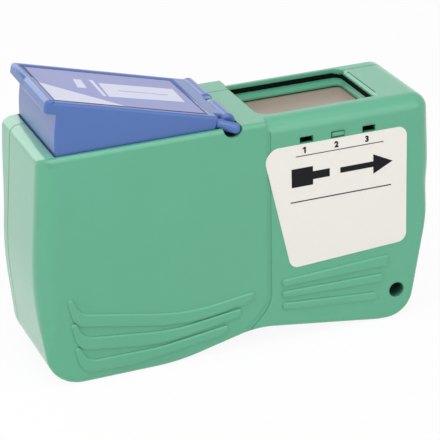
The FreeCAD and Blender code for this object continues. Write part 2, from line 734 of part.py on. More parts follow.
def grip_rib(i):
    """Outline of a long grip rib: tip, lower bend, lower sag, tail, upper sag, upper bend."""
    tip = f"left + grip_inset + {i} * grip_lean"
    tip_z = f"grip_rise - {i} * grip_pitch"
    bend_z = f"{tip_z} - grip_bend_fall"
    sag = f"left + grip_sag_reach - {i} * grip_sag_step"
    sag_z = f"grip_sag_rise - {i} * grip_fan_pitch"
    tail = f"left + grip_tail_reach - {i} * grip_sag_step"
    tail_z = f"grip_tail_rise - {i} * grip_fan_pitch"
    return [
        (tip, tip_z, "rib_end_radius"),
        (f"{tip} + grip_tip_width", f"{bend_z} - grip_neck", "grip_bend_radius"),
        (f"{sag} - {i} * grip_sag_step", f"{sag_z} - grip_thickness", "grip_sag_radius"),
        (f"{tail} - grip_tail_slant", f"{tail_z} - grip_tail_thickness", "rib_end_radius"),
        (tail, tail_z, "rib_end_radius"),
        (sag, sag_z, "grip_sag_radius"),
        (f"{tip} + 2 * grip_tip_width", bend_z, "grip_bend_radius"),
        (f"{tip} + grip_tip_width", tip_z, "rib_end_radius"),
    ]


def small_grip_rib(i):
    """Outline of a short grip rib under the label."""
    start = "window_left + small_grip_start"
    end = f"{start} + small_grip_length - {i} * small_grip_shortening"
    left_z = f"top - small_grip_drop - {i} * small_grip_pitch"
    right_z = f"{left_z} + small_grip_lift - {i} * small_grip_fan"
    flare = f"small_grip_flare / {i + 1}"
    return [
        (start, left_z, "rib_end_radius"),
        (start, f"{left_z} - small_grip_thickness", "rib_end_radius"),
        (f"{end} - {flare}", f"{right_z} - small_grip_thickness - {flare}", "rib_end_radius"),
        (end, right_z, "rib_end_radius"),
    ]


def make_grips():
    """Three long ribs on the left lobe and three short ones under the label."""
    grips = []
    for kind, rib in (("long", grip_rib), ("short", small_grip_rib)):
        for i in range(3):
            body = new_body(f"{kind}_grip_{i}")
            outline = (draw_outline, (rib(i),))
            pad(body, f"{kind}_rib_{i}", "front - rib_height", "front + wall / 2", outline)
            round_loop(body, f"{kind}_rib_rounding_{i}", "front - rib_height", "rib_rounding")
            grips.append(body)
    return grips


FRONT_BOSSES = [
    ("supply_x", "reel_z", "boss_r", "bore_r"),
    ("takeup_x", "reel_z", "boss_r", "bore_r"),
    ("roller_left_x", "roller_z", "guide_boss_r", "guide_pin_radius + fit"),
    ("roller_right_x", "roller_z", "guide_boss_r", "guide_pin_radius + fit"),
]


def add_front_bosses(body):
    """Bosses for shafts, guide pins and screws, and the tube of the strap hole."""
    seat = "front + wall"
    bosses = [circle(x, z, outer) for x, z, outer, bore in FRONT_BOSSES]
    pad(body, "front_bosses", seat, "front + wall + boss_height", *bosses)
    holes = [circle(x, z, bore) for x, z, outer, bore in FRONT_BOSSES]
    pocket(body, "front_boss_holes", seat, "front + wall + boss_height + running_gap", *holes)
    posts = [circle(x, z, "screw_boss_r") for x, z, depth in SCREW_PLACES.values()]
    tube = circle("strap_x", "strap_height", "strap_radius + wall")
    pad(body, "screw_posts", seat, "parting", *posts, tube)
    pilots = [circle(x, z, "screw_radius + fit") for x, z, depth in SCREW_PLACES.values()]
    pocket(body, "screw_pilots", "parting - screw_length - wall", "parting + wall", *pilots)
    strap = circle("strap_x", "strap_height", "strap_radius")
    pocket(body, "front_strap_hole", "front - wall", "parting + wall", strap)


def make_rear_cover():
    plate = new_body("rear_plate")
    pad(plate, "rear_outside", "parting", "right_back", (draw_outline, (casing_outline("0"),)))
    round_loop(plate, "rear_edge", "right_back", "back_edge_radius")
    lobe = new_body("rear_lobe")
    pad(lobe, "lobe_outside", "parting", "back", (draw_outline, (lobe_outline("0"),)))
    rounded_lobe = round_face("rear_lobe_rounded", lobe, "back", lobe_radius)
    body = shell_from("rear_shell", [plate, rounded_lobe])
    pocket(body, "rear_hollow", "parting", "right_inner", (draw_outline, (casing_outline("wall"),)))
    narrow = (draw_outline, (lobe_outline("wall + inner_step"),))
    pocket(body, "lobe_hollow", "parting", "lobe_inner", narrow)
    wide = (draw_outline, (lobe_outline("wall"),))
    pocket(body, "lobe_wide_hollow", "parting", "lobe_inner - inner_step", wide)
    pocket(body, "rear_lever_opening", "parting", "lobe_inner", lever_opening())
    plan_pocket(body, "rear_window", "top - 2 * wall", "top + wall", [
        ("window_left", "parting - wall"),
        ("window_right", "parting - wall"),
        ("window_right", "window_far", "window_rear_radius"),
        ("window_left", "window_far"),
    ])
    notches = []
    for i in range(2):
        start = f"opening_right + notch_offset + {i} * notch_pitch"
        notches.append(rectangle(start, f"{start} + notch_width", "top - notch_depth", "top + wall"))
    pocket(body, "rim_notches", "lobe_inner", "back + wall", *notches)
    shelf = rectangle(
        "spring_x - spring_radius - wall", "spring_x + spring_radius + wall",
        "shelf_z - shelf_thickness", "shelf_z",
    )
    pad(body, "spring_shelf", "spring_y - spring_radius - spring_wire", "lobe_inner + wall / 2", shelf)
    pad(body, "supply_rear_boss", "reel_back + washer_thickness + running_gap", "lobe_inner + wall / 2",
        circle("supply_x", "reel_z", "boss_r"))
    rear_bosses = [circle("takeup_x", "reel_z", "boss_r"), circle("idler_x", "idler_z", "boss_r")]
    pad(body, "right_rear_bosses", "boss_front", "right_inner + wall / 2", *rear_bosses)
    for name, (x, z, depth) in SCREW_PLACES.items():
        pad(body, name + "_sleeve", "parting", f"{depth} - wall / 2",
            circle(x, z, "screw_head_radius + fit + wall / 2"))
    pad(body, "strap_sleeve", "parting", "right_back - wall / 2",
        circle("strap_x", "strap_height", "strap_radius + wall"))
    pocket(body, "supply_seat", "reel_back", "lobe_inner", circle("supply_x", "reel_z", "bore_r"))
    seats = [circle("takeup_x", "reel_z", "bore_r"), circle("idler_x", "idler_z", "bore_r")]
    pocket(body, "right_seats", "boss_front - wall", "right_inner + wall / 2", *seats)
    for name, (x, z, depth) in SCREW_PLACES.items():
        pocket(body, name + "_hole", "parting - wall", f"{depth} + wall",
               circle(x, z, "screw_radius + fit"))
        pocket(body, name + "_head", f"{depth} - screw_head_height - wall / 2", f"{depth} + wall",
               circle(x, z, "screw_head_radius + fit"))
    pocket(body, "rear_strap_hole", "parting - wall", "right_back + wall",
           circle("strap_x", "strap_height", "strap_radius"))
    label(body, "rear_cover")


def make_cover_screws():
    screws = []
    for name, (x, z, depth) in SCREW_PLACES.items():
        seat = f"{depth} - screw_head_height - wall / 2"
        head = rod(name + "_cap", x, z, "screw_head_radius", seat, f"{depth} - wall / 2")
        shank = rod(name + "_shank", x, z, "screw_radius", "parting - screw_length", seat)
        screws.append(fuse(name, [head, shank]))
    group = doc.addObject("Part::Compound", "screw_group")
    group.Links = screws
    label(group, "cover_screws")


def frame_hole(ledge):
    """Hole of the window frame in plan, made larger by a ledge."""
    x_low, x_high = f"window_left + frame_lap - ({ledge})", f"window_right - frame_lap + ({ledge})"
    y_low, y_high = f"window_near + frame_lap - ({ledge})", f"wheel_back - running_gap + ({ledge})"
    radius = f"frame_radius + ({ledge})"
    corners = [(x_low, y_low), (x_high, y_low), (x_high, y_high), (x_low, y_high)]
    return [(x, y, radius) for x, y in corners]


def make_window_frame():
    """Stepped frame under the window. A ridge along its front and left sides meets the top."""
    body = new_body("frame_body")
    low = "shutter_top + running_gap"
    x_low, x_high = "window_left - frame_flange", "window_right + frame_flange"
    y_low, y_high = "window_near - frame_flange", "right_inner - running_gap"
    plan_pad(body, "frame_plate", low, "top - frame_drop", [
        (x_low, y_low), (x_high, y_low), (x_high, y_high), (x_low, y_high),
    ])
    plan_pad(body, "frame_ridge_wall", low, "top - wall", [
        (x_low, y_low),
        (x_high, y_low),
        (x_high, f"{y_low} + frame_ridge"),
        (f"{x_low} + frame_ridge", f"{y_low} + frame_ridge"),
        (f"{x_low} + frame_ridge", "parting - seam"),
        (x_low, "parting - seam"),
    ])
    plan_pocket(body, "frame_inner_step", "top - frame_step_drop", "top", frame_hole("frame_ledge"))
    plan_pocket(body, "frame_opening", f"{low} - wall", "top", frame_hole("0"))
    label(body, "window_frame")


def make_lever():
    """Built level about its hinge, then tilted to its rest angle."""
    body = new_body("lever_shell")
    reach = "(lever_radius + lip_length)"
    lean = (f"{reach} * sin(rest_angle)", f"{reach} * cos(rest_angle)")
    skirt = ("skirt_drop * sin(rest_angle)", "skirt_drop * cos(rest_angle)")
    wedge = [
        ("0", "plate_height"),
        (f"-{reach}", "plate_height"),
        (f"-{lean[1]} + {skirt[0]}", f"-{lean[0]} - {skirt[1]}"),
        (skirt[0], f"-{skirt[1]}"),
    ]
    pad(body, "wedge", "lever_front", "lever_back", (draw_outline, (wedge,)))
    room = rectangle("-nose_room", "nose_room", "-nose_room", "plate_height + nose_room")
    pocket(body, "nose_cut_out", "lever_front - wall", "lever_front + nose_room_depth", room)
    trim = [circle("0", "0", "lever_radius"), circle("0", "0", "2 * lever_radius")]
    pocket(body, "end_arc", "lever_front - wall", "lever_back + wall", *trim)
    hollow = [
        ("-barrel_radius - lever_wall", "plate_height - plate_thickness"),
        ("-lever_radius + end_wall", "plate_height - plate_thickness"),
        ("-lever_radius + end_wall_foot", f"-{lean[0]} - 3 * skirt_drop"),
        ("-barrel_radius - lever_wall", f"-{lean[0]} - 3 * skirt_drop"),
    ]
    pocket(body, "hollow", "lever_front + lever_wall", "lever_back - lever_wall", (draw_outline, (hollow,)))
    lip = [
        ("-lever_radius + lever_wall", "plate_height"),
        (f"-{reach}", "plate_height", "lip_height / 4"),
        (f"-{reach}", "plate_height - lip_height", "lip_height / 3"),
        ("-lever_radius + lever_wall", "plate_height - lip_height"),
    ]
    pad(body, "lip", "lever_front", "lever_back", (draw_outline, (lip,)))
    thick_lip = [
        (f"-{reach} + recess_rim", "plate_height + lip_pad_rise", "lip_pad_rise"),
        (f"-{reach} - lip_pad_rise", "plate_height + lip_pad_rise", "lip_height / 3"),
        (f"-{reach} - lip_pad_rise", "plate_height - lip_height", "lip_height / 3"),
        (f"-{reach} + recess_rim", "plate_height - lip_height"),
    ]
    pad(body, "lip_pad", "lever_front", "lever_front + lip_pad_width", (draw_outline, (thick_lip,)))
    barrel = circle("0", "0", "barrel_radius")
    pad(body, "front_barrel", "lever_front + barrel_inset", "tongue_front - running_gap", barrel)
    round_loop(body, "barrel_end", "lever_front + barrel_inset", "barrel_rounding")
    rear_barrel = circle("0", "0", "rear_barrel_radius")
    pad(body, "rear_barrel", "tongue_back + running_gap", "lever_back", rear_barrel)
    pad(body, "rear_collar", "lever_back - barrel_collar", "lever_back", barrel)
    eye_room = circle("0", "0", "tongue_radius + running_gap")
    pocket(body, "eye_room", "tongue_front - running_gap", "tongue_back + running_gap", eye_room)
    bore = circle("0", "0", "pin_radius + fit")
    bore_front, bore_back = "lever_front + pin_end - running_gap", "lever_back - pin_end + running_gap"
    pocket(body, "pin_bore", bore_front, bore_back, bore)
    recess = rectangle(
        f"-{reach} + recess_rim", "-recess_from_hinge",
        "plate_height - recess_depth", "plate_height + recess_depth",
    )
    pocket(body, "label_recess", "lever_front + recess_rim", "lever_back - recess_rim", recess)
    body.Placement.Rotation = FreeCAD.Rotation(FreeCAD.Vector(0, 1, 0), number("rest_angle"))
    body.setExpression("Placement.Rotation.Angle", bind("rest_angle"))
    place(body, "pivot_x", "0", "pivot_z")
    lever = fuse("lever_assembly", [body, make_sector()] + make_nose())
    label(lever, "lever")


def make_nose():
    """Rounded nose that runs from the end of the lever's front wall to the hinge."""
    along = "nose_length * cos(rest_angle)"
    root = ("pivot_x - nose_start", "lever_front + nose_depth", "pivot_z + nose_rise")
    stem = doc.addObject("Part::Cylinder", "nose_stem")
    tie(stem, Radius="nose_radius", Height="nose_length")
    stem.Placement.Rotation = FreeCAD.Rotation(-number("nose_yaw"), 90 + number("rest_angle"), 0)
    place(stem, *root)
    tip = doc.addObject("Part::Sphere", "nose_tip")
    tie(tip, Radius="nose_radius")
    place(
        tip, f"{root[0]} + {along} * cos(nose_yaw)", f"{root[1]} - {along} * sin(nose_yaw)",
        f"{root[2]} - nose_length * sin(rest_angle)",
    )
    return [stem, tip]


def make_lever_label():
    body = new_body("lever_label_body")
    reach = "(lever_radius + lip_length)"
    film = rectangle(
        f"-{reach} + recess_rim + lever_gap", "-recess_from_hinge - lever_gap",
        "plate_height - recess_depth", "plate_height - recess_depth + label_thickness",
    )
    near, far = "lever_front + recess_rim + lever_gap", "lever_back - recess_rim - lever_gap"
    pad(body, "lever_film", near, far, film)
    body.Placement.Rotation = FreeCAD.Rotation(FreeCAD.Vector(0, 1, 0), number("rest_angle"))
    body.setExpression("Placement.Rotation.Angle", bind("rest_angle"))
    place(body, "pivot_x", "0", "pivot_z")
    label(body, "lever_label")


def make_front_label():
    body = new_body("front_label_body")
    edge = "window_left - label_offset"
    row = "top - label_drop"
    corners = [
        (edge, row, "label_lead_radius"),
        (f"{edge} + label_slant", f"{row} - label_height - label_tail", "label_radius"),
        (f"{edge} + label_width", f"{row} - label_height", "label_radius"),
        (f"{edge} + label_width", row, "label_radius"),
    ]
    pad(body, "front_film", "front - label_thickness", "front", (draw_outline, (corners,)))
    label(body, "front_label")


def involute(angle):
    return math.tan(angle) - angle


def tooth_flank(radius, size, play, steps=5):
    """Half-angles of a tooth at a few radii, from its root to its tip."""
    pressure = math.radians(20)
    base = radius * math.cos(pressure)
    middle = (math.pi * size / 2 - play) / 2 / radius
    root = radius - number("tooth_root") * size
    tip = radius + number("tooth_tip") * size
    flank = []
    for i in range(steps):
        place_now = max(root, base) + (tip - max(root, base)) * i / (steps - 1)
        lean = math.acos(min(1, base / place_now))
        flank.append((place_now, middle + involute(pressure) - involute(lean)))
    if root < base:
        flank.insert(0, (root, flank[0][1]))
    return flank


def tooth_points(radius, size, play, angle):
    """One tooth's outline about the origin, its middle at an angle."""
    flank = tooth_flank(radius, size, play)
    outline_now = [(r, angle - half) for r, half in flank]
    outline_now += [(r, angle + half) for r, half in reversed(flank)]
    return [FreeCAD.Vector(r * math.cos(a), 0, r * math.sin(a)) for r, a in outline_now]


def toothed_plate(name, points, x, z, near, far):
    """A plate from a closed run of points, moved to its axis."""
    face = Part.Face(Part.makePolygon(points + points[:1]))
    piece = doc.addObject("Part::Feature", name)
    piece.Shape = face.extrude(FreeCAD.Vector(0, number(far) - number(near), 0))
    place(piece, x, near, z)
    return piece


def gear(name, teeth, phase, x, z, near, far):
    """An involute gear with the middle of one tooth at the angle phase."""
    count = int(number(teeth))
    size = number("module")
    radius = size * count / 2
    points = []
    for i in range(count):
        points += tooth_points(radius, size, number("backlash"), phase + 2 * math.pi * i / count)
    return toothed_plate(name, points, x, z, near, far)


def bearing(from_x, from_z, to_x, to_z):
    """Angle of the line from one axis to another."""
    return math.atan2(number(to_z) - number(from_z), number(to_x) - number(from_x))


def sector_radius():
    across = number("takeup_x") - number("pivot_x")
    down = number("pivot_z") - number("reel_z")
    return math.hypot(across, down) - number("pinion_r")


def make_sector():
    """Toothed arm of the lever. Its uppermost tooth meets the pinion at rest."""
    size = number("module")
    radius = sector_radius()
    middle = bearing("pivot_x", "pivot_z", "takeup_x", "reel_z")
    pitch = math.pi * size / radius
    count = int(number("sector_teeth"))
    angles = [middle - pitch * i for i in reversed(range(count))]
    root = radius - number("tooth_root") * size
    edge_angles = (angles[0] - pitch / 2, angles[-1] + pitch / 2)
    hub = number("pin_radius") + number("fit") + number("barrel_radius") / 4
    points = []
    for angle in angles:
        points += tooth_points(radius, size, number("backlash"), angle)
    for reach, angle in ((root, edge_angles[1]), (hub, edge_angles[1])):
        points.append(FreeCAD.Vector(reach * math.cos(angle), 0, reach * math.sin(angle)))
    for reach, angle in ((hub, edge_angles[0]), (root, edge_angles[0])):
        points.append(FreeCAD.Vector(reach * math.cos(angle), 0, reach * math.sin(angle)))
    return toothed_plate("sector", points, "pivot_x", "pivot_z", "sector_front", "sector_back")


def make_drive_gear():
    toward_lever = bearing("takeup_x", "reel_z", "pivot_x", "pivot_z")
    pinion_phase = toward_lever + math.pi / number("pinion_teeth")
    pinion = gear("pinion", "pinion_teeth", pinion_phase, "takeup_x", "reel_z", "wheel_back", "pinion_back")
    wheel_phase = bearing("takeup_x", "reel_z", "idler_x", "idler_z")
    wheel = gear("wheel", "wheel_teeth", wheel_phase, "takeup_x", "reel_z", "wheel_front", "wheel_back")
    bore = rod("drive_bore", "takeup_x", "reel_z", "bore_r", "wheel_front - wall", "pinion_back + wall")
    x, z = pawl_pin_place()
    pin_hole = rod("pawl_pin_hole", x, z, "pawl_pin_radius + fit", "wheel_front - wall", "wheel_back + wall")
    label(cut("drive_wheel", fuse("drive_blank", [pinion, wheel]), [bore, pin_hole]), "drive_gear")


def idler_phase():
    back_to_wheel = bearing("idler_x", "idler_z", "takeup_x", "reel_z")
    return back_to_wheel + math.pi / number("idler_teeth")


def make_idler_gear():
    teeth = gear("idler", "idler_teeth", idler_phase(), "idler_x", "idler_z", "wheel_front", "wheel_back")
    bore = rod("idler_bore", "idler_x", "idler_z", "bore_r", "wheel_front - wall", "wheel_back + wall")
    label(cut("idler_wheel", teeth, [bore]), "idler_gear")


def shutter_travel():
    """The shutter's way for a full press of the lever."""
    sector_way = math.radians(number("press_angle")) * sector_radius()
    return sector_way * number("wheel_r") / number("pinion_r")


def rack_points():
    """Rack teeth along X below the rack's back, with a gap where the idler has a tooth."""
    size = number("module")
    pitch = math.pi * size
    radius = number("idler_r")
    step = 2 * math.pi / number("idler_teeth")
    off_top = (math.pi / 2 - idler_phase()) % step
    gap_x = number("idler_x") + radius * off_top
    start = number("idler_x") - 1.5 * pitch
    end = number("idler_x") + shutter_travel() + 1.5 * pitch
    half = (pitch / 2 - number("backlash")) / 2
    lean = math.tan(math.radians(20))
    pitch_z = number("rack_pitch_z")
    root_z = number("rack_root_z")
    back_z = number("shutter_top")
    tip_z = pitch_z - number("tooth_tip") * size
    points = [FreeCAD.Vector(start, 0, root_z)]
    first = math.ceil((start - gap_x) / pitch)
    middle = gap_x + (first + 0.5) * pitch
    while middle + half + pitch / 4 < end:
        wide = half + (root_z - pitch_z) * lean
        slim = half - (pitch_z - tip_z) * lean
        points += [FreeCAD.Vector(middle - wide, 0, root_z), FreeCAD.Vector(middle - slim, 0, tip_z)]
        points += [FreeCAD.Vector(middle + slim, 0, tip_z), FreeCAD.Vector(middle + wide, 0, root_z)]
        middle += pitch
    points += [FreeCAD.Vector(end, 0, root_z), FreeCAD.Vector(end, 0, back_z)]
    points.append(FreeCAD.Vector(start, 0, back_z))
    return points


def make_shutter():
    rack = toothed_plate("rack", rack_points(), "0", "0", "wheel_front", "wheel_back")
    plate = block(
        "shutter_plate",
        ("window_left - shutter_overlap", "window_right + shutter_overlap"),
        ("window_near - shutter_overlap", "wheel_back"),
        ("shutter_low", "shutter_top"),
    )
    label(fuse("shutter_slide", [plate, rack]), "shutter")


def make_reel(node, x, flange_radius, hub_radius, ratchet):
    name = node + "_blank"
    pieces = [
        rod(name + "_front", x, "reel_z", flange_radius, "reel_front", "reel_front + flange"),
        rod(name + "_back", x, "reel_z", flange_radius, "reel_back - flange", "reel_back"),
        rod(name + "_hub", x, "reel_z", hub_radius, "reel_front", "reel_back"),
    ]
    if ratchet:
        pieces.append(make_ratchet_ring(x))
    bore = rod(name + "_bore", x, "reel_z", "bore_r", "reel_front - wall", "ratchet_back + wall")
    label(cut(node + "_piece", fuse(name, pieces), [bore]), node)


def make_ratchet_ring(x):
    """Saw teeth that the pawl catches when the drive gear turns clockwise."""
    count = int(number("ratchet_teeth"))
    tip = number("ratchet_radius")
    root = tip - number("ratchet_depth")
    points = []
    for i in range(count):
        angle = -2 * math.pi * i / count
        points.append(FreeCAD.Vector(root * math.cos(angle), 0, root * math.sin(angle)))
        points.append(FreeCAD.Vector(tip * math.cos(angle), 0, tip * math.sin(angle)))
    return toothed_plate("ratchet_ring", list(reversed(points)), x, "reel_z", "reel_back", "ratchet_back")


def make_roll(node, x, radius, hub_radius):
    roll = rod(node + "_blank", x, "reel_z", radius, "tape_front", "tape_back")
    core = rod(node + "_core", x, "reel_z", f"{hub_radius} + fit", "tape_front - wall", "tape_back + wall")
    label(cut(node + "_piece", roll, [core]), node)


def make_shafts():
    near = "front + wall + fit"
    label(rod("supply_pin", "supply_x", "reel_z", "shaft_radius", near, "lobe_inner - fit"), "supply_shaft")
    far = "right_inner + wall / 2 - fit"
    label(rod("takeup_pin", "takeup_x", "reel_z", "shaft_radius", near, far), "takeup_shaft")
    label(rod("idler_axle", "idler_x", "idler_z", "shaft_radius", "tape_back", far), "idler_pin")
    label(rod(
        "hinge_pin", "pivot_x", "pivot_z", "pin_radius", "lever_front + pin_end", "lever_back - pin_end",
    ), "lever_pin")


def make_brake_washer():
    near = "reel_back + running_gap"
    far = "reel_back + running_gap + washer_thickness"
    ring = rod("washer_blank", "supply_x", "reel_z", "washer_radius", near, far)
    hole = rod("washer_hole", "supply_x", "reel_z", "bore_r", f"{near} - wall", f"{far} + wall")
    label(cut("washer_piece", ring, [hole]), "brake_washer")


PAWL_ANGLE = math.radians(number("pawl_bearing"))


def pawl_pin_place():
    """Pawl pin on the drive gear, left of the take-up shaft and above it."""
    return (
        f"takeup_x + pawl_reach * {math.cos(PAWL_ANGLE):.6f}",
        f"reel_z + pawl_reach * {math.sin(PAWL_ANGLE):.6f}",
    )


def make_drive_pawl():
    """Pawl held just clear of the ratchet ring, and its pin."""
    x, z = pawl_pin_place()
    near = "reel_back + running_gap / 2"
    far = f"{near} + pawl_thickness"
    eye = rod("pawl_eye", x, z, "pawl_pin_radius + boss_wall / 2", near, far)
    reach = number("pawl_reach")
    tip = number("ratchet_radius") + number("running_gap")
    wide = number("pawl_pin_radius") + number("boss_wall") / 2
    end = PAWL_ANGLE + math.radians(number("pawl_sweep"))
    def at(radius, angle):
        return FreeCAD.Vector(radius * math.cos(angle), 0, radius * math.sin(angle))
    points = [at(reach - wide, PAWL_ANGLE), at(reach + wide, PAWL_ANGLE)]
    points += [at(tip + number("pawl_tip"), end), at(tip, end)]
    arm = toothed_plate("pawl_arm", points, "takeup_x", "reel_z", near, far)
    hole = rod("pawl_hole", x, z, "pawl_pin_radius + fit", f"{near} - wall", f"{far} + wall")
    label(cut("pawl_piece", fuse("pawl_blank", [eye, arm]), [hole]), "drive_pawl")
    label(rod("pawl_axle", x, z, "pawl_pin_radius", near, "wheel_back"), "pawl_pin")


def make_stop_leaf():
    """Leaf that sits on the waist screw post and stops short of the ratchet ring."""
    x, z, depth = SCREW_PLACES["screw_waist"]
    near = "reel_back + running_gap / 2"
    far = f"{near} + pawl_thickness"
    collar = rod("leaf_collar", x, z, "screw_boss_r + leaf_thickness + fit", near, far)
    start = FreeCAD.Vector(number(x), 0, number(z))
    centre = FreeCAD.Vector(number("takeup_x"), 0, number("reel_z"))
    along = (centre - start).normalize()
    side = FreeCAD.Vector(-along.z, 0, along.x) * (number("leaf_thickness") / 2)
    root = start + along * number("screw_boss_r")
    tip = centre - along * (number("ratchet_radius") + number("running_gap"))
    arm = toothed_plate("leaf_arm", [root - side, tip - side, tip + side, root + side], "0", "0", near, far)
    hole = rod("leaf_hole", x, z, "screw_boss_r + fit", f"{near} - wall", f"{far} + wall")
    label(cut("leaf_piece", fuse("leaf_blank", [collar, arm]), [hole]), "stop_leaf")


def make_platen():
    holder = block(
        "holder_shelf", ("holder_left", "holder_right"),
        ("front + wall", "wheel_front - running_gap"), ("holder_low", "holder_top"),
    )
    lug = block(
        "holder_lug", ("idler_x - lug_half_width", "idler_x + lug_half_width"),
        ("tape_back - side_gap", "wheel_front - running_gap"),
        ("idler_z - lug_half_width", "holder_top"),
    )
    seat = rod("lug_hole", "idler_x", "idler_z", "bore_r", "tape_back - wall", "wheel_front + wall")
    label(cut("holder_piece", fuse("holder_blank", [holder, lug]), [seat]), "platen_holder")
    pad_piece = block(
        "pad_block", ("holder_left + pad_inset", "holder_right - pad_inset"),
        ("tape_front", "tape_back"), ("holder_top", "pad_top"),
    )
    label(pad_piece, "platen_pad")


def make_guides():
    pins = []
    for side in ("left", "right"):
        x = f"roller_{side}_x"
        roller = rod(f"roller_{side}", x, "roller_z", "roller_radius", "tape_front", "tape_back")
        bore_near, bore_far = "tape_front - wall", "tape_back + wall"
        bore = rod(f"roller_{side}_bore", x, "roller_z", "guide_pin_radius + fit", bore_near, bore_far)
        label(cut(f"roller_{side}_piece", roller, [bore]), f"guide_roller_{side}")
        far = "tape_back + side_gap"
        pins.append(rod(f"guide_pin_{side}", x, "roller_z", "guide_pin_radius", "front + wall + fit", far))
    group = doc.addObject("Part::Compound", "pin_group")
    group.Links = pins
    label(group, "guide_pins")


def tangent_angle(x1, z1, r1, x2, z2, r2, side):
    """Direction from two axes to the line that touches both circles on one side."""
    gap = math.hypot(x2 - x1, z2 - z1)
    return math.atan2(z2 - z1, x2 - x1) + side * math.acos((r1 - r2) / gap)


def make_tape():
    """Strip from the fresh roll over both guide rollers to the used roll."""
    clear = number("tape_gap")
    thick = number("tape_thickness")
    roll_r = number("supply_roll_radius") + clear
    guide_r = number("roller_radius") + clear
    used_r = number("takeup_roll_radius") + clear
    reel_z, guide_z = number("reel_z"), number("roller_z")
    roll = (number("supply_x"), reel_z)
    first = (number("roller_left_x"), guide_z)
    second = (number("roller_right_x"), guide_z)
    used = (number("takeup_x"), reel_z)
    rise = tangent_angle(*roll, roll_r, *first, guide_r, 1)
    fall = tangent_angle(*second, guide_r, *used, used_r, 1)
    top_angle = math.pi / 2

    def at(axis, radius, angle):
        return FreeCAD.Vector(axis[0] + radius * math.cos(angle), 0, axis[1] + radius * math.sin(angle))

    def run(extra):
        points = [
            at(roll, roll_r + extra, rise), at(first, guide_r + extra, rise),
            at(first, guide_r + extra, (rise + top_angle) / 2), at(first, guide_r + extra, top_angle),
            at(second, guide_r + extra, top_angle), at(second, guide_r + extra, (fall + top_angle) / 2),
            at(second, guide_r + extra, fall), at(used, used_r + extra, fall),
        ]
        edges = [
            Part.LineSegment(points[0], points[1]), Part.Arc(points[1], points[2], points[3]),
            Part.LineSegment(points[3], points[4]), Part.Arc(points[4], points[5], points[6]),
            Part.LineSegment(points[6], points[7]),
        ]
        return points, [edge.toShape() for edge in edges]

    low_points, low_edges = run(0)
    high_points, high_edges = run(thick)
    ends = [
        Part.LineSegment(low_points[0], high_points[0]).toShape(),
        Part.LineSegment(low_points[-1], high_points[-1]).toShape(),
    ]
    loop = Part.Wire(Part.__sortEdges__(low_edges + high_edges + ends))
    piece = doc.addObject("Part::Feature", "tape_strip")
    piece.Shape = Part.Face(loop).extrude(FreeCAD.Vector(0, number("tape_width"), 0))
    place(piece, "0", "tape_front", "0")
    label(piece, "cleaning_tape")


def make_type_tab():
    middle = "window_left + slot_start + slot_pitch"
    row = "top - slot_drop"
    peg = block(
        "tab_peg",
        (f"{middle} - slot_length / 2 + tab_gap", f"{middle} + slot_length / 2 - tab_gap"),
        ("front - tab_rise", "front + wall"),
        (f"{row} - slot_height / 2 + 2 * tab_gap", f"{row} + slot_height / 2 - tab_gap"),
    )
    foot = block(
        "tab_foot",
        (f"{middle} - slot_length", f"{middle} + slot_length"),
        ("front + wall", "front + 1.5 * wall"),
        (f"{row} - slot_height", f"{row} + slot_height"),
    )
    label(fuse("tab_piece", [peg, foot]), "type_tab")


def make_return_spring():
    """Coil that stands on the rear cover's shelf and lifts the lever's top plate."""
    helix = doc.addObject("Part::Helix", "spring_path")
    reach = "(spring_from_hinge + plate_height * sin(rest_angle))"
    plate_z = f"pivot_z + {reach} * tan(rest_angle) + (plate_height - plate_thickness) * cos(rest_angle)"
    height = f"{plate_z} - (shelf_z) - 2 * spring_wire - spring_radius"
    tie(helix, Radius="spring_radius", Height=height, Pitch=f"({height}) / spring_turns")
    place(helix, "spring_x", "spring_y", "shelf_z + spring_wire + fit")
    wire = doc.addObject("Part::Circle", "spring_section")
    wire.Placement.Rotation = FreeCAD.Rotation(FreeCAD.Vector(1, 0, 0), 90)
    tie(wire, Radius="spring_wire")
    place(wire, "spring_x + spring_radius", "spring_y", "shelf_z + spring_wire + fit")
    coil = doc.addObject("Part::Sweep", "spring_coil")
    coil.Sections = [wire]
    coil.Spine = (helix, [])
    coil.Solid = True
    coil.Frenet = True
    label(coil, "return_spring")


def main():
    make_front_cover()
    make_rear_cover()
    make_window_frame()
    make_lever()
    make_lever_label()
    make_front_label()
    make_type_tab()
    make_shutter()
    make_platen()
    make_guides()
    make_tape()
    make_reel("supply_reel", "supply_x", "supply_flange_radius", "supply_hub_radius", False)
    make_roll("supply_roll", "supply_x", "supply_roll_radius", "supply_hub_radius")
    make_reel("takeup_reel", "takeup_x", "takeup_flange_radius", "takeup_hub_radius", True)
    make_roll("takeup_roll", "takeup_x", "takeup_roll_radius", "takeup_hub_radius")
    make_shafts()
    make_brake_washer()
    make_drive_gear()
    make_drive_pawl()
    make_stop_leaf()
    make_idler_gear()
    make_return_spring()
    make_cover_screws()
    doc.recompute()
    write_parts()


def write_parts():
    """Check every object, then write each piece to its own file."""
    for item in doc.Objects:
        if "Invalid" in item.State or "Error" in item.State:
            raise RuntimeError(f"{item.Name} failed: {item.State}")
    for piece in NODES:
        if piece.Shape.isNull() or not piece.Shape.isValid():
            raise RuntimeError(f"{piece.Label} has no valid shape")
    os.makedirs("parts", exist_ok=True)
    for piece in NODES:
        piece.Shape.exportStep(f"parts/{piece.Label}.step")


main()
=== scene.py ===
"""Looks of a fibre optic cleaning cassette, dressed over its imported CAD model."""

import json
import math

import bmesh
import bpy
from mathutils import Matrix, Vector


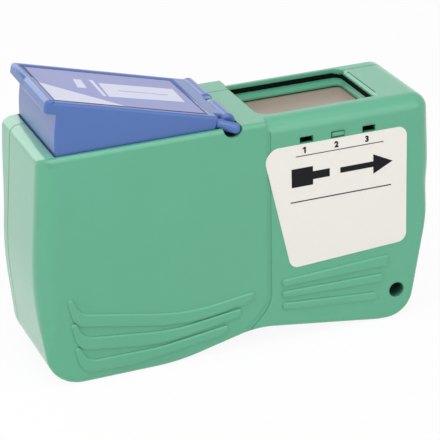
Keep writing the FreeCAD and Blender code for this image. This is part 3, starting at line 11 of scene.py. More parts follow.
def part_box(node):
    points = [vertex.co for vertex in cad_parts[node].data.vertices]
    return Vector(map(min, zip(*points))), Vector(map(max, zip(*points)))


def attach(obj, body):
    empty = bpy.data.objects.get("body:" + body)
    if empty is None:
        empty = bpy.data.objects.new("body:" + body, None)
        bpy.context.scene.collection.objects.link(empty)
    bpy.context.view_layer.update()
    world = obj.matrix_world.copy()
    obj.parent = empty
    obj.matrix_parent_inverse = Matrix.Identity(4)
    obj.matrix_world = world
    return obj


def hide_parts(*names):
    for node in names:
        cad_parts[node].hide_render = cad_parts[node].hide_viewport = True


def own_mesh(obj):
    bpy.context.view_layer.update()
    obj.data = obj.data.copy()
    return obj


bl_info = {
    "name": "Fibre cleaning cassette",
    "version": (1, 0, 0),
    "blender": (4, 5, 0),
    "location": "View3D > Sidebar > Cassette",
    "description": "Finishes, prints and stage of a fibre optic cleaning cassette",
    "category": "Object",
}

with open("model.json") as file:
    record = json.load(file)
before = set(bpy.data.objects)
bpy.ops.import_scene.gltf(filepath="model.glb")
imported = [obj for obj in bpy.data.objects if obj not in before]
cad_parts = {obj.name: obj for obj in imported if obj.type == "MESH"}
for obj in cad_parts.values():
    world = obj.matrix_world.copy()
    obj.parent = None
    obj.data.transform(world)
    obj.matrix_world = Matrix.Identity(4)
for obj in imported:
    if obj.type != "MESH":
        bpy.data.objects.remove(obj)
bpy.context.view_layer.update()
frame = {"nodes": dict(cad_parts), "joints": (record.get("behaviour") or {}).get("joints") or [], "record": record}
MM = 0.001
HINGE = Vector(next(joint["pos_m"] for joint in frame["joints"] if joint["name"] == "lever_press"))

# Faces that meet at more than SHARP keep a sharp edge, and points nearer than MERGE become one.
SHARP = math.radians(32)
MERGE = 0.001 * MM


def linear(hex_colour):
    """sRGB hex to a linear colour with alpha."""
    parts = [int(hex_colour[i:i + 2], 16) / 255 for i in (1, 3, 5)]
    return [c / 12.92 if c <= 0.04045 else ((c + 0.055) / 1.055) ** 2.4 for c in parts] + [1.0]


def colour_prop(name, description, default):
    """Colour property; its default is an sRGB hex value."""
    return bpy.props.FloatVectorProperty(
        name=name, description=description, subtype="COLOR", size=4, min=0, max=1, default=linear(default),
    )


def length_prop(name, description, default_mm):
    """Length property; its default is in millimetres."""
    return bpy.props.FloatProperty(
        name=name, description=description, unit="LENGTH", precision=5, default=default_mm * MM,
    )


class CassetteColours(bpy.types.PropertyGroup):
    """Colours of the mouldings, films and inner parts."""
    casing: colour_prop("Casing", "Green of the two covers", "#54AA87")
    lever: colour_prop("Lever", "Blue of the press lever", "#4C6EB1")
    lever_film: colour_prop("Lever film", "Lavender field on the lever", "#9095CA")
    film_white: colour_prop("Film white", "White print on the lever", "#D6D9EE")
    # Dark blue of the line of painted shadow in the gap round the lever's film.
    film_gap_shadow: colour_prop("Film line", "Dark blue line round the lever's film", "#2E3A6E")
    label: colour_prop("Label", "White of the front label", "#F1ECE6")
    ink: colour_prop("Ink", "Black print", "#17171A")
    shutter: colour_prop("Shutter", "Brown of the shutter", "#A39084")
    acetal: colour_prop("Acetal", "White of the gears", "#EDEBE4")
    reel: colour_prop("Reel", "Dark grey of the reels", "#3A3D40")
    cloth: colour_prop("Cloth", "Off-white of the tape", "#F3F1EC")
    rubber: colour_prop("Rubber", "Black of the pad", "#2A2A2C")
    # Black of the strip of painted shadow in the gap under the window's rim.
    gap_black: colour_prop("Shadow", "Black of the window's seal", "#0A0A0C")
    steel: colour_prop("Steel", "Grey of pins and springs", "#C4C6C8")


class CassetteSizes(bpy.types.PropertyGroup):
    """Sizes of the lever's rounding, the prints, the strip of painted shadow under the window's rim, the spring
    and the screws.
    """
    lever_edge: length_prop("Lever edge", "Rounding of the lever's edges", 0.7)
    film_height: length_prop("Film height", "Lever's film over the hinge, square to the film", 1.7)
    rest_angle: bpy.props.FloatProperty(
        name="Rest angle", description="Lever's tilt at rest", subtype="ANGLE", default=math.radians(14.7),
    )
    # Width of the line of painted shadow round the lever's film.
    line_width: length_prop("Film line", "Width of the line round the lever's film", 0.5)
    ink_depth: length_prop("Ink", "Height of printed shapes over their film", 0.04)
    digit_size: length_prop("Digits", "Type size of the slot numbers", 2.5)
    digit_weight: length_prop("Digit weight", "Growth of the slot numbers' outlines", 0.14)
    # The strip under the window's rim, sized below, is painted shadow for the gap there.
    shadow_side: length_prop("Seal side", "Window frame's front and ends to the strip", 1.2)
    shadow_back: length_prop("Seal back", "Window frame's back to the strip", 0.45)
    shadow_width: length_prop("Strip", "Width of the strip under the window's rim", 0.5)
    shadow_height: length_prop("Seal height", "Height of the strip under the window's rim", 1.6)
    shadow_seat: length_prop("Seal seat", "Seat of the strip below the window frame's top", 1.3)
    shadow_corner: length_prop("Seal corner", "Radius of the strip's corners", 3)
    spring_keep: bpy.props.FloatProperty(
        name="Spring keep", description="Share of the spring's length that is left under a pressed lever",
        subtype="FACTOR", min=0.1, max=1, default=0.75,
    )
    screw_head_radius: length_prop("Screw head", "Radius of a cover screw's head", 2.4)
    screw_head_height: length_prop("Head height", "Height of a cover screw's head", 1.6)
    screw_recess_width: length_prop("Recess width", "Width of the cross in a screw's head", 0.9)
    screw_recess_depth: length_prop("Recess depth", "Depth of the cross in a screw's head", 0.9)
    screw_shank_radius: length_prop("Screw shank", "Radius of a cover screw's shank", 1.2)


class CassetteStage(bpy.types.PropertyGroup):
    """Camera, floor and room light."""
    azimuth: bpy.props.FloatProperty(
        name="Azimuth", description="Turn of the camera about the part", subtype="ANGLE",
        default=math.radians(-20.683),
    )
    elevation: bpy.props.FloatProperty(
        name="Elevation", description="Height of the camera over the part", subtype="ANGLE",
        default=math.radians(24.27),
    )
    roll: bpy.props.FloatProperty(
        name="Roll", description="Turn of the camera about its own line of sight", subtype="ANGLE",
        default=math.radians(-1.926),
    )
    distance: length_prop("Distance", "Camera to the point it looks at", 596)
    aim: bpy.props.FloatVectorProperty(
        name="Aim", description="Point in the middle of the picture", unit="LENGTH",
        default=(-8.572 * MM, -25.683 * MM, 47.567 * MM),
    )
    lens: bpy.props.FloatProperty(
        name="Lens", description="Focal length in millimetres on a 36 mm wide sensor", unit="CAMERA",
        default=165.59,
    )
    floor_half: length_prop("Floor", "Half the width of the floor", 3000)
    floor_white: bpy.props.FloatProperty(
        name="Floor white", description="Share of the floor that is plain white to the camera",
        subtype="FACTOR", min=0, max=1, default=0.92,
    )
    room_light: bpy.props.FloatProperty(
        name="Room light", description="Strength of the world's light on the object", min=0, default=0.35,
    )


# Each lamp's name, its place and diameter in millimetres, and its watts. All look at one point.
LAMPS = (
    ("overhead", (-100, -250, 750), 800, 3.2),
    ("left_box", (-650, -150, 300), 400, 1.0),
    ("front_fill", (300, -900, 400), 1000, 2.7),
    ("back_box", (-200, 900, 350), 900, 3.0),
)
LAMP_AIM = (0, 0, 45)


def add_node(tree, kind, settings=None, inputs=None):
    """Add a node. Settings are its own values, inputs are values or sockets to link, by name or number."""
    made = tree.nodes.new(kind)
    for key, value in (settings or {}).items():
        setattr(made, key, value)
    for key, value in (inputs or {}).items():
        if isinstance(value, bpy.types.NodeSocket):
            tree.links.new(value, made.inputs[key])
        else:
            made.inputs[key].default_value = value
    return made


# A colour Mix node has its sockets under numbers, because its names repeat for other kinds of value.
COLOUR = {"data_type": "RGBA"}
FACTOR, FIRST, SECOND, MIXED = 0, 6, 7, 2


def empty_tree(owner):
    """Node tree of a material or world, with no nodes."""
    owner.use_nodes = True
    owner.node_tree.nodes.clear()
    return owner.node_tree


def new_material(name, **constants):
    """A material with only a Principled shader and an output; constants go on the shader's own sockets."""
    made = bpy.data.materials.new(name)
    tree = empty_tree(made)
    values = {key.replace("_", " "): value for key, value in constants.items()}
    shader = add_node(tree, "ShaderNodeBsdfPrincipled", None, values)
    add_node(tree, "ShaderNodeOutputMaterial", None, {"Surface": shader.outputs["BSDF"]})
    place = add_node(tree, "ShaderNodeTexCoord").outputs["Object"]
    return made, tree, shader, place


def tint(colour, factor):
    """The same colour, paler or darker."""
    return [min(1.0, c * factor) for c in colour[:3]] + [1.0]


def moulded_plastic(name, colour, roughness, edge=0.25, ior=1.54, skin=1.0):
    # Injection-moulded plastic: a smooth skin that turns pale where it is seen at a slant, slow flow
    # marks in shade and gloss, a spark-eroded grain in the highlights, and rounded edges that are
    # painted paler, a painted highlight that also stands for slight wear. Holes and deep hollows get
    # painted shade. The grain is drawn coarser than real, so that it shows. The edge is that rounding
    # in millimetres, and the skin is the weight of the smooth skin.
    flow_size, grain_size, grain_depth, hollow_size = 28 * MM, 0.45 * MM, 0.012 * MM, 10 * MM
    made, tree, shader, place = new_material(
        name, IOR=ior, Specular_IOR_Level=0.25, Coat_Weight=skin, Coat_Roughness=roughness - 0.1,
    )
    flow = add_node(tree, "ShaderNodeTexNoise", None, {
        "Vector": place, "Scale": 1 / flow_size, "Detail": 3.0,
    })
    shade = add_node(tree, "ShaderNodeMix", COLOUR, {
        FACTOR: flow.outputs["Fac"], FIRST: tint(colour, 0.95), SECOND: tint(colour, 1.05),
    })
    soft = add_node(tree, "ShaderNodeBevel", {"samples": 6}, {"Radius": edge * MM})
    facing = add_node(tree, "ShaderNodeNewGeometry")
    turn = add_node(tree, "ShaderNodeVectorMath", {"operation": "DOT_PRODUCT"}, {
        0: soft.outputs["Normal"], 1: facing.outputs["Normal"],
    })
    # Painted highlight: where the rounded normal turns from the face's own, the colour goes paler; it also stands
    # for slight wear.
    edge_highlight_and_wear = add_node(tree, "ShaderNodeMapRange", None, {
        "Value": turn.outputs["Value"], "From Min": 0.98, "From Max": 0.75, "To Max": 0.5,
    })
    highlighted_and_worn = add_node(tree, "ShaderNodeMix", COLOUR, {
        FACTOR: edge_highlight_and_wear.outputs["Result"], FIRST: shade.outputs[MIXED], SECOND: tint(colour, 1.25),
    })
    # Painted shade: ambient occlusion darkens holes, hollows and corners towards a fifth of the colour.
    hollow = add_node(tree, "ShaderNodeAmbientOcclusion", {"samples": 8, "only_local": True}, {
        "Distance": hollow_size,
    })
    unshaded = add_node(tree, "ShaderNodeMapRange", None, {
        "Value": hollow.outputs["AO"], "From Min": 0.1, "From Max": 0.5,
    })
    whole = add_node(tree, "ShaderNodeMix", COLOUR, {
        FACTOR: unshaded.outputs["Result"], FIRST: tint(colour, 0.2), SECOND: highlighted_and_worn.outputs[MIXED],
    })
    tree.links.new(whole.outputs[MIXED], shader.inputs["Base Color"])
    gloss = add_node(tree, "ShaderNodeMapRange", None, {
        "Value": flow.outputs["Fac"], "To Min": roughness - 0.05, "To Max": roughness + 0.05,
    })
    tree.links.new(gloss.outputs["Result"], shader.inputs["Roughness"])
    grain = add_node(tree, "ShaderNodeTexNoise", None, {
        "Vector": place, "Scale": 1 / grain_size, "Detail": 2.0,
    })
    bump = add_node(tree, "ShaderNodeBump", None, {
        "Strength": 0.3, "Distance": grain_depth, "Height": grain.outputs["Fac"],
        "Normal": soft.outputs["Normal"],
    })
    tree.links.new(bump.outputs["Normal"], shader.inputs["Normal"])
    return made


def printed_film(name, colour, roughness, specular=0.5):
    # Printed plastic film: the ink is slightly uneven, and the film lies in faint ripples 14 mm apart
    # that bend its reflections.
    ink_size, ripple_size, ripple_depth = 0.8 * MM, 14 * MM, 0.03 * MM
    made, tree, shader, place = new_material(name, Specular_IOR_Level=specular)
    ink = add_node(tree, "ShaderNodeTexNoise", None, {
        "Vector": place, "Scale": 1 / ink_size, "Detail": 2.0,
    })
    ripple = add_node(tree, "ShaderNodeTexNoise", None, {
        "Vector": place, "Scale": 1 / ripple_size, "Detail": 1.0,
    })
    base = add_node(tree, "ShaderNodeMix", COLOUR, {
        FACTOR: ink.outputs["Fac"], FIRST: tint(colour, 0.975), SECOND: tint(colour, 1.025),
    })
    shade = add_node(tree, "ShaderNodeMix", COLOUR, {
        FACTOR: ripple.outputs["Fac"], FIRST: base.outputs[MIXED], SECOND: tint(colour, 0.985),
    })
    tree.links.new(shade.outputs[MIXED], shader.inputs["Base Color"])
    gloss = add_node(tree, "ShaderNodeMapRange", None, {
        "Value": ripple.outputs["Fac"], "To Min": roughness - 0.04, "To Max": roughness + 0.06,
    })
    tree.links.new(gloss.outputs["Result"], shader.inputs["Roughness"])
    bump = add_node(tree, "ShaderNodeBump", None, {
        "Strength": 0.5, "Distance": ripple_depth, "Height": ripple.outputs["Fac"],
    })
    tree.links.new(bump.outputs["Normal"], shader.inputs["Normal"])
    return made


def woven_cloth(name, colour):
    # Woven microfibre: two crossed waves of threads 0.6 mm apart, coarser than real so that they show.
    # A wave texture turns through 20 radians in each unit of length.
    thread, thread_depth, unit_turn = 0.6 * MM, 0.08 * MM, 20
    made, tree, shader, place = new_material(name, Roughness=0.9, Sheen_Weight=0.3)
    threads = [
        add_node(tree, "ShaderNodeTexWave", {"bands_direction": direction}, {
            "Vector": place, "Scale": 2 * math.pi / (unit_turn * thread), "Distortion": 0.4,
        })
        for direction in ("X", "Y")
    ]
    weave = add_node(tree, "ShaderNodeMath", {"operation": "MULTIPLY"}, {
        0: threads[0].outputs["Fac"], 1: threads[1].outputs["Fac"],
    })
    shade = add_node(tree, "ShaderNodeMix", COLOUR, {
        FACTOR: weave.outputs["Value"], FIRST: tint(colour, 0.82), SECOND: tint(colour, 1.03),
    })
    tree.links.new(shade.outputs[MIXED], shader.inputs["Base Color"])
    bump = add_node(tree, "ShaderNodeBump", None, {
        "Strength": 0.6, "Distance": thread_depth, "Height": weave.outputs["Value"],
    })
    tree.links.new(bump.outputs["Normal"], shader.inputs["Normal"])
    return made


def soft_rubber(name, colour, specular=0.5):
    # Rubber: dull, with a fine dusty bloom in patches of 1.2 mm. The same dull black also makes the strip of
    # painted shadow in the gap under the window's rim.
    bloom_size, bloom_depth = 1.2 * MM, 0.03 * MM
    made, tree, shader, place = new_material(name, Roughness=0.8, Specular_IOR_Level=specular)
    bloom = add_node(tree, "ShaderNodeTexNoise", None, {
        "Vector": place, "Scale": 1 / bloom_size, "Detail": 4.0,
    })
    shade = add_node(tree, "ShaderNodeMix", COLOUR, {
        FACTOR: bloom.outputs["Fac"], FIRST: tint(colour, 0.85), SECOND: tint(colour, 1.25),
    })
    tree.links.new(shade.outputs[MIXED], shader.inputs["Base Color"])
    bump = add_node(tree, "ShaderNodeBump", None, {
        "Strength": 0.4, "Distance": bloom_depth, "Height": bloom.outputs["Fac"],
    })
    tree.links.new(bump.outputs["Normal"], shader.inputs["Normal"])
    return made


def turned_steel(name, colour):
    # Turned steel: fine marks round each pin, 0.25 mm apart along it, catch the light in thin streaks.
    mark_length, mark_spacing = 3 * MM, 0.25 * MM
    made, tree, shader, place = new_material(name, Metallic=1.0)
    along = add_node(tree, "ShaderNodeMapping", None, {
        "Vector": place, "Scale": (1, mark_length / mark_spacing, 1),
    })
    marks = add_node(tree, "ShaderNodeTexNoise", None, {
        "Vector": along.outputs["Vector"], "Scale": 1 / mark_length, "Detail": 3.0,
    })
    shade = add_node(tree, "ShaderNodeMix", COLOUR, {
        FACTOR: marks.outputs["Fac"], FIRST: tint(colour, 0.85), SECOND: tint(colour, 1.05),
    })
    tree.links.new(shade.outputs[MIXED], shader.inputs["Base Color"])
    gloss = add_node(tree, "ShaderNodeMapRange", None, {
        "Value": marks.outputs["Fac"], "To Min": 0.25, "To Max": 0.42,
    })
    tree.links.new(gloss.outputs["Result"], shader.inputs["Roughness"])
    return made


LOOKS = {}


def make_looks(colours):
    """Every finish, by the record's slot or by its own name."""
    LOOKS.update({
        "green_abs": moulded_plastic("moulded_green_abs", colours.casing, 0.36, edge=1.2),
        "blue_abs": moulded_plastic("moulded_blue_abs", colours.lever, 0.3, edge=0.4, skin=0.5),
        "lever_film": printed_film("printed_lavender_polyester", colours.lever_film, 0.35),
        "film_white": printed_film("printed_white_polyester", colours.film_white, 0.35),
        # Dark blue for the line of painted shadow round the lever's film.
        "film_gap_shadow": printed_film("painted_film_gap_shadow", colours.film_gap_shadow, 0.4, specular=0.3),
        "label_film": printed_film("white_vinyl", colours.label, 0.42),
        "ink": printed_film("black_screen_ink", colours.ink, 0.6, specular=0.15),
        "shutter_plastic": moulded_plastic("moulded_brown_styrene", colours.shutter, 0.38, skin=0.6),
        "white_acetal": moulded_plastic("moulded_acetal", colours.acetal, 0.4, edge=0.1, ior=1.48),
        "reel_plastic": moulded_plastic("moulded_dark_styrene", colours.reel, 0.45, edge=0.2),
        "tape_cloth": woven_cloth("woven_microfibre", colours.cloth),
        "pad_rubber": soft_rubber("soft_rubber", colours.rubber),
        # Dull black for the strip of painted shadow under the window's rim.
        "painted_gap_shadow": soft_rubber("gap_shadow_black", colours.gap_black, specular=0.1),
        "steel": turned_steel("turned_steel", colours.steel),
    })


def link(name, data):
    """New object in the scene, at the origin."""
    made = bpy.data.objects.new(name, data)
    bpy.context.scene.collection.objects.link(made)
    return made


def settle(piece, body, slot, *nodes):
    """Ride on a body and stand for CAD nodes, which are hidden; the slot is not used."""
    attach(piece, body)
    if nodes:
        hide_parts(*nodes)


def as_mesh(holder, name):
    """The evaluated object as a plain mesh of its own; the object it came from goes."""
    bpy.context.view_layer.update()
    mesh = bpy.data.meshes.new_from_object(holder.evaluated_get(bpy.context.evaluated_depsgraph_get()))
    mesh.name = name
    bpy.data.objects.remove(holder)
    return mesh


def cad_mesh(node):
    """Mesh of a CAD node, which stays as it is."""
    return frame["nodes"][node].data


def merged(mesh):
    """Copy of a mesh in bmesh, with the points that lie together made one."""
    bm = bmesh.new()
    bm.from_mesh(mesh)
    bmesh.ops.remove_doubles(bm, verts=bm.verts, dist=MERGE)
    return bm


def shaded_mesh(bm, name):
    """Smooth mesh from a bmesh, with its sharp edges kept; the bmesh goes."""
    mesh = bpy.data.meshes.new(name)
    bm.to_mesh(mesh)
    bm.free()
    mesh.shade_smooth()
    mesh.set_sharp_from_angle(angle=SHARP)
    return mesh


def finished(bm, name, look, body, slot, *nodes):
    """A piece from a bmesh, with its faces turned outwards."""
    bmesh.ops.recalc_face_normals(bm, faces=bm.faces)
    mesh = shaded_mesh(bm, name)
    mesh.materials.append(LOOKS[look])
    piece = link(name, mesh)
    settle(piece, body, slot, *nodes)
    return piece


def softened(node, body, slot, width, chosen):
    """Copy of a CAD node whose chosen outer edges are rounded; it replaces the node."""
    flat = math.radians(0.4)
    bm = merged(cad_mesh(node))
    bmesh.ops.dissolve_limit(bm, angle_limit=flat, verts=bm.verts, edges=bm.edges)
    weight = bm.edges.layers.float.new("bevel_weight_edge")
    for edge in bm.edges:
        if len(edge.link_faces) == 2 and edge.is_convex and edge.calc_face_angle(0) > SHARP:
            if chosen((edge.verts[0].co + edge.verts[1].co) / MM / 2):
                edge[weight] = 1.0
    name = node + "_soft"
    holder = link(node + "_holder", shaded_mesh(bm, name))
    rounding = holder.modifiers.new("rounding", "BEVEL")
    rounding.limit_method = "WEIGHT"
    rounding.width = width
    rounding.segments = 3
    rounding.use_clamp_overlap = False
    even = holder.modifiers.new("even_shading", "WEIGHTED_NORMAL")
    even.keep_sharp = True
    mesh = as_mesh(holder, name)
    mesh.materials.append(LOOKS[slot])
    settle(link(name, mesh), body, slot, node)


def bridge(bm, loop, other):
    """Faces between two loops of vertices."""
    for i in range(len(loop)):
        j = (i + 1) % len(loop)
        bm.faces.new((loop[i], loop[j], other[j], other[i]))


def ring_piece(name, sections, look, body, slot):
    """A closed ring; each section is a loop of points round it, and the last joins the first."""
    bm = bmesh.new()
    loops = [[bm.verts.new(point) for point in section] for section in sections]
    for loop, other in zip(loops, loops[1:] + loops[:1]):
        bridge(bm, loop, other)
    finished(bm, name, look, body, slot)


def raised(plane, outline, height):
    """Points of an outline in millimetres on a plane, at a height over it."""
    return [plane @ Vector((x * MM, y * MM, height)) for x, y in outline]


def flat_piece(name, outlines, plane, depth, look, body, slot):
    """Printed shapes, each an outline on a plane, as far over the plane as under it."""
    bm = bmesh.new()
    for outline in outlines:
        low = [bm.verts.new(point) for point in raised(plane, outline, -depth)]
        high = [bm.verts.new(point) for point in raised(plane, outline, depth)]
        bm.faces.new(high)
        bm.faces.new(low[::-1])
        bridge(bm, low, high)
    finished(bm, name, look, body, slot)


def bar(x_low, x_high, y_low, y_high):
    """Outline of a rectangle."""
    return [(x_low, y_low), (x_high, y_low), (x_high, y_high), (x_low, y_high)]


def rounded_rectangle(low, high, radius, inset, steps=6):
    """Corner points of a rectangle with round corners, anticlockwise, moved in by an inset."""
    reach = radius - inset
    points = []
    for quarter, (x, y) in enumerate(bar(low.x, high.x, low.y, high.y)):
        middle_x = low.x + radius if x == low.x else high.x - radius
        middle_y = low.y + radius if y == low.y else high.y - radius
        for step in range(steps + 1):
            angle = math.pi + math.pi / 2 * (quarter + step / steps)
            points.append((middle_x + reach * math.cos(angle), middle_y + reach * math.sin(angle)))
    return points


def front_plane(y):
    """Upright plane at a depth: right is +X, up is +Z, out is -Y."""
    return Matrix(((1, 0, 0, 0), (0, 0, -1, y), (0, 1, 0, 0), (0, 0, 0, 1)))


def film_plane(sizes):
    """Plane of the lever's film: right is towards the hinge, up is to the back."""
    cosine, sine = math.cos(sizes.rest_angle), math.sin(sizes.rest_angle)
    turn = Matrix(((cosine, 0, sine), (0, 1, 0), (-sine, 0, cosine)))
    place = HINGE + turn @ Vector((0, 0, sizes.film_height))
    return Matrix.Translation(Vector((place.x, 0, place.z))) @ turn.to_4x4()


class CASSETTE_OT_stage(bpy.types.Operator):
    """Floor, lights, world and camera"""
    bl_idname = "cassette.stage"
    bl_label = "Stage"

    def execute(self, context):
        stage = context.scene.cassette_stage
        make_floor(stage)
        make_lights()
        make_world(context.scene, stage)
        make_camera(context.scene, stage)
        return {"FINISHED"}


def camera_rays(tree):
    """1 for rays that come from the camera or from a gloss or glass surface."""
    path = add_node(tree, "ShaderNodeLightPath")
    total = path.outputs["Is Camera Ray"]
    for kind in ("Is Glossy Ray", "Is Transmission Ray"):
        joined = add_node(tree, "ShaderNodeMath", {"operation": "MAXIMUM"}, {
            0: total, 1: path.outputs[kind],
        })
        total = joined.outputs["Value"]
    return total


def make_floor(stage):
    """White paper floor: mostly plain white to the camera, with a share of real light for the shadow."""
    half = stage.floor_half
    mesh = bpy.data.meshes.new("floor")
    mesh.from_pydata([(x, y, 0) for x, y in bar(-half, half, -half, half)], [], [(0, 1, 2, 3)])
    made = bpy.data.materials.new("white_paper")
    tree = empty_tree(made)
    paper = add_node(tree, "ShaderNodeBsdfDiffuse", None, {"Color": linear("#F4F4F4")})
    white = add_node(tree, "ShaderNodeEmission", None, {"Strength": 1.0})
    share = add_node(tree, "ShaderNodeMath", {"operation": "MULTIPLY"}, {
        0: camera_rays(tree), 1: stage.floor_white,
    })
    both = add_node(tree, "ShaderNodeMixShader", None, {
        0: share.outputs["Value"], 1: paper.outputs["BSDF"], 2: white.outputs["Emission"],
    })
    add_node(tree, "ShaderNodeOutputMaterial", None, {"Surface": both.outputs["Shader"]})
    mesh.materials.append(made)
    link("floor", mesh)


def make_lights():
    """Soft boxes overhead, at the left and behind, and a fill in front."""
    for name, place, diameter, watts in LAMPS:
        lamp = bpy.data.lights.new(name, "AREA")
        lamp.shape = "DISK"
        lamp.size = diameter * MM
        lamp.energy = watts
        holder = link(name, lamp)
        holder.location = Vector(place) * MM
        sight = Vector(LAMP_AIM) * MM - holder.location
        holder.rotation_euler = sight.to_track_quat("-Z", "Y").to_euler()


def make_world(scene, stage):
    """White room: plain white to the camera, and a weaker light on the object."""
    scene.world = bpy.data.worlds.new("studio")
    tree = empty_tree(scene.world)
    strength = add_node(tree, "ShaderNodeMapRange", None, {
        "Value": camera_rays(tree), "To Min": stage.room_light, "To Max": 1.0,
    })
    sky = add_node(tree, "ShaderNodeBackground", None, {
        "Color": (1, 1, 1, 1), "Strength": strength.outputs["Result"],
    })
    add_node(tree, "ShaderNodeOutputWorld", None, {"Surface": sky.outputs["Background"]})
    scene.view_settings.view_transform = "Standard"


def make_camera(scene, stage):
    """Camera at the photograph's viewing angle."""
    azimuth, elevation, roll = stage.azimuth, stage.elevation, stage.roll
    level = math.cos(elevation)
    back = Vector((math.sin(azimuth) * level, -math.cos(azimuth) * level, math.sin(elevation)))
    right = Vector((0, 0, 1)).cross(back).normalized()
    up = back.cross(right)
    tilted = right * math.cos(roll) + up * math.sin(roll)
    upright = up * math.cos(roll) - right * math.sin(roll)
    lens = bpy.data.cameras.new("camera")
    lens.lens = stage.lens
    lens.clip_start = 10 * MM
    camera = link("camera", lens)
    turn = Matrix((tilted, upright, back)).transposed()
    camera.matrix_world = Matrix.Translation(Vector(stage.aim) + back * stage.distance) @ turn.to_4x4()
    scene.camera = camera


class CASSETTE_OT_finishes(bpy.types.Operator):
    """Make the finishes and give every CAD node its own"""
    bl_idname = "cassette.finishes"
    bl_label = "Finishes"

    def execute(self, context):
        make_looks(context.scene.cassette_colours)
        for row in frame["record"]["subparts"]:
            mesh = cad_mesh(row["node"])
            mesh.materials.clear()
            mesh.materials.append(LOOKS[row["material_slot"]])
        return {"FINISHED"}


class CASSETTE_OT_gap_shadow(bpy.types.Operator):
    """Black strip of painted shadow in the gap between the window's rim and its frame"""
    bl_idname = "cassette.seal"
    bl_label = "Window seal"

    def execute(self, context):
        sizes = context.scene.cassette_sizes
        low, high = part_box("window_frame")
        bottom = high.z - sizes.shadow_seat
        top = bottom + sizes.shadow_height
        near = low.xy + Vector((sizes.shadow_side, sizes.shadow_side))
        far = high.xy - Vector((sizes.shadow_side, sizes.shadow_back))
        width = sizes.shadow_width
        sections = [
            [(x, y, z) for x, y in rounded_rectangle(near, far, sizes.shadow_corner, inset)]
            for inset, z in ((0, bottom), (0, top), (width, top), (width, bottom))
        ]
        # The ring is painted shadow: a black strip where the gap between the rim and the frame lies in shade.
        ring_piece("window_gap_shadow", sections, "painted_gap_shadow", "casing", "pad_rubber")
        return {"FINISHED"}


class CASSETTE_OT_screws(bpy.types.Operator):
    """Cover screws with cross recesses, set by geometry nodes where the CAD has them"""
    bl_idname = "cassette.screws"
    bl_label = "Cover screws"

    def execute(self, context):
        sizes = context.scene.cassette_sizes
        points = screw_points(sizes)
        group, inputs = screw_tree()
        holder = link("screw_holder", points)
        nodes = holder.modifiers.new("screws", "NODES")
        nodes.node_group = group
        for name, value in (
            ("Head radius", sizes.screw_head_radius),
            ("Head height", sizes.screw_head_height),
            ("Recess width", sizes.screw_recess_width),
            ("Recess depth", sizes.screw_recess_depth),
            ("Shank radius", sizes.screw_shank_radius),
            ("Material", LOOKS["steel"]),
        ):
            nodes[inputs[name]] = value
        mesh = as_mesh(holder, "cross_screws")
        mesh.shade_smooth()
        mesh.set_sharp_from_angle(angle=SHARP)
        settle(link("cross_screws", mesh), "casing", "steel", "cover_screws")
        return {"FINISHED"}


def screw_points(sizes):
    """A point on the top of each CAD screw; its 'shank' value is the length under the head."""
    bm = merged(cad_mesh("cover_screws"))
    seen = set()
    places, shanks = [], []
    for first in bm.verts:
        if first in seen:
            continue
        island, queue = {first}, [first]
        while queue:
            for edge in queue.pop().link_edges:
                for vert in edge.verts:
                    if vert not in island:
                        island.add(vert)
                        queue.append(vert)
        seen |= island
        spans = [[v.co[axis] for v in island] for axis in range(3)]
        middle = [(min(span) + max(span)) / 2 for span in spans]
        places.append((middle[0], max(spans[1]), middle[2]))
        shanks.append(max(spans[1]) - min(spans[1]) - sizes.screw_head_height)
    bm.free()
    mesh = bpy.data.meshes.new("screw_points")
    mesh.from_pydata(places, [], [])
    mesh.attributes.new("shank", "FLOAT", "POINT").data.foreach_set("value", shanks)
    return mesh


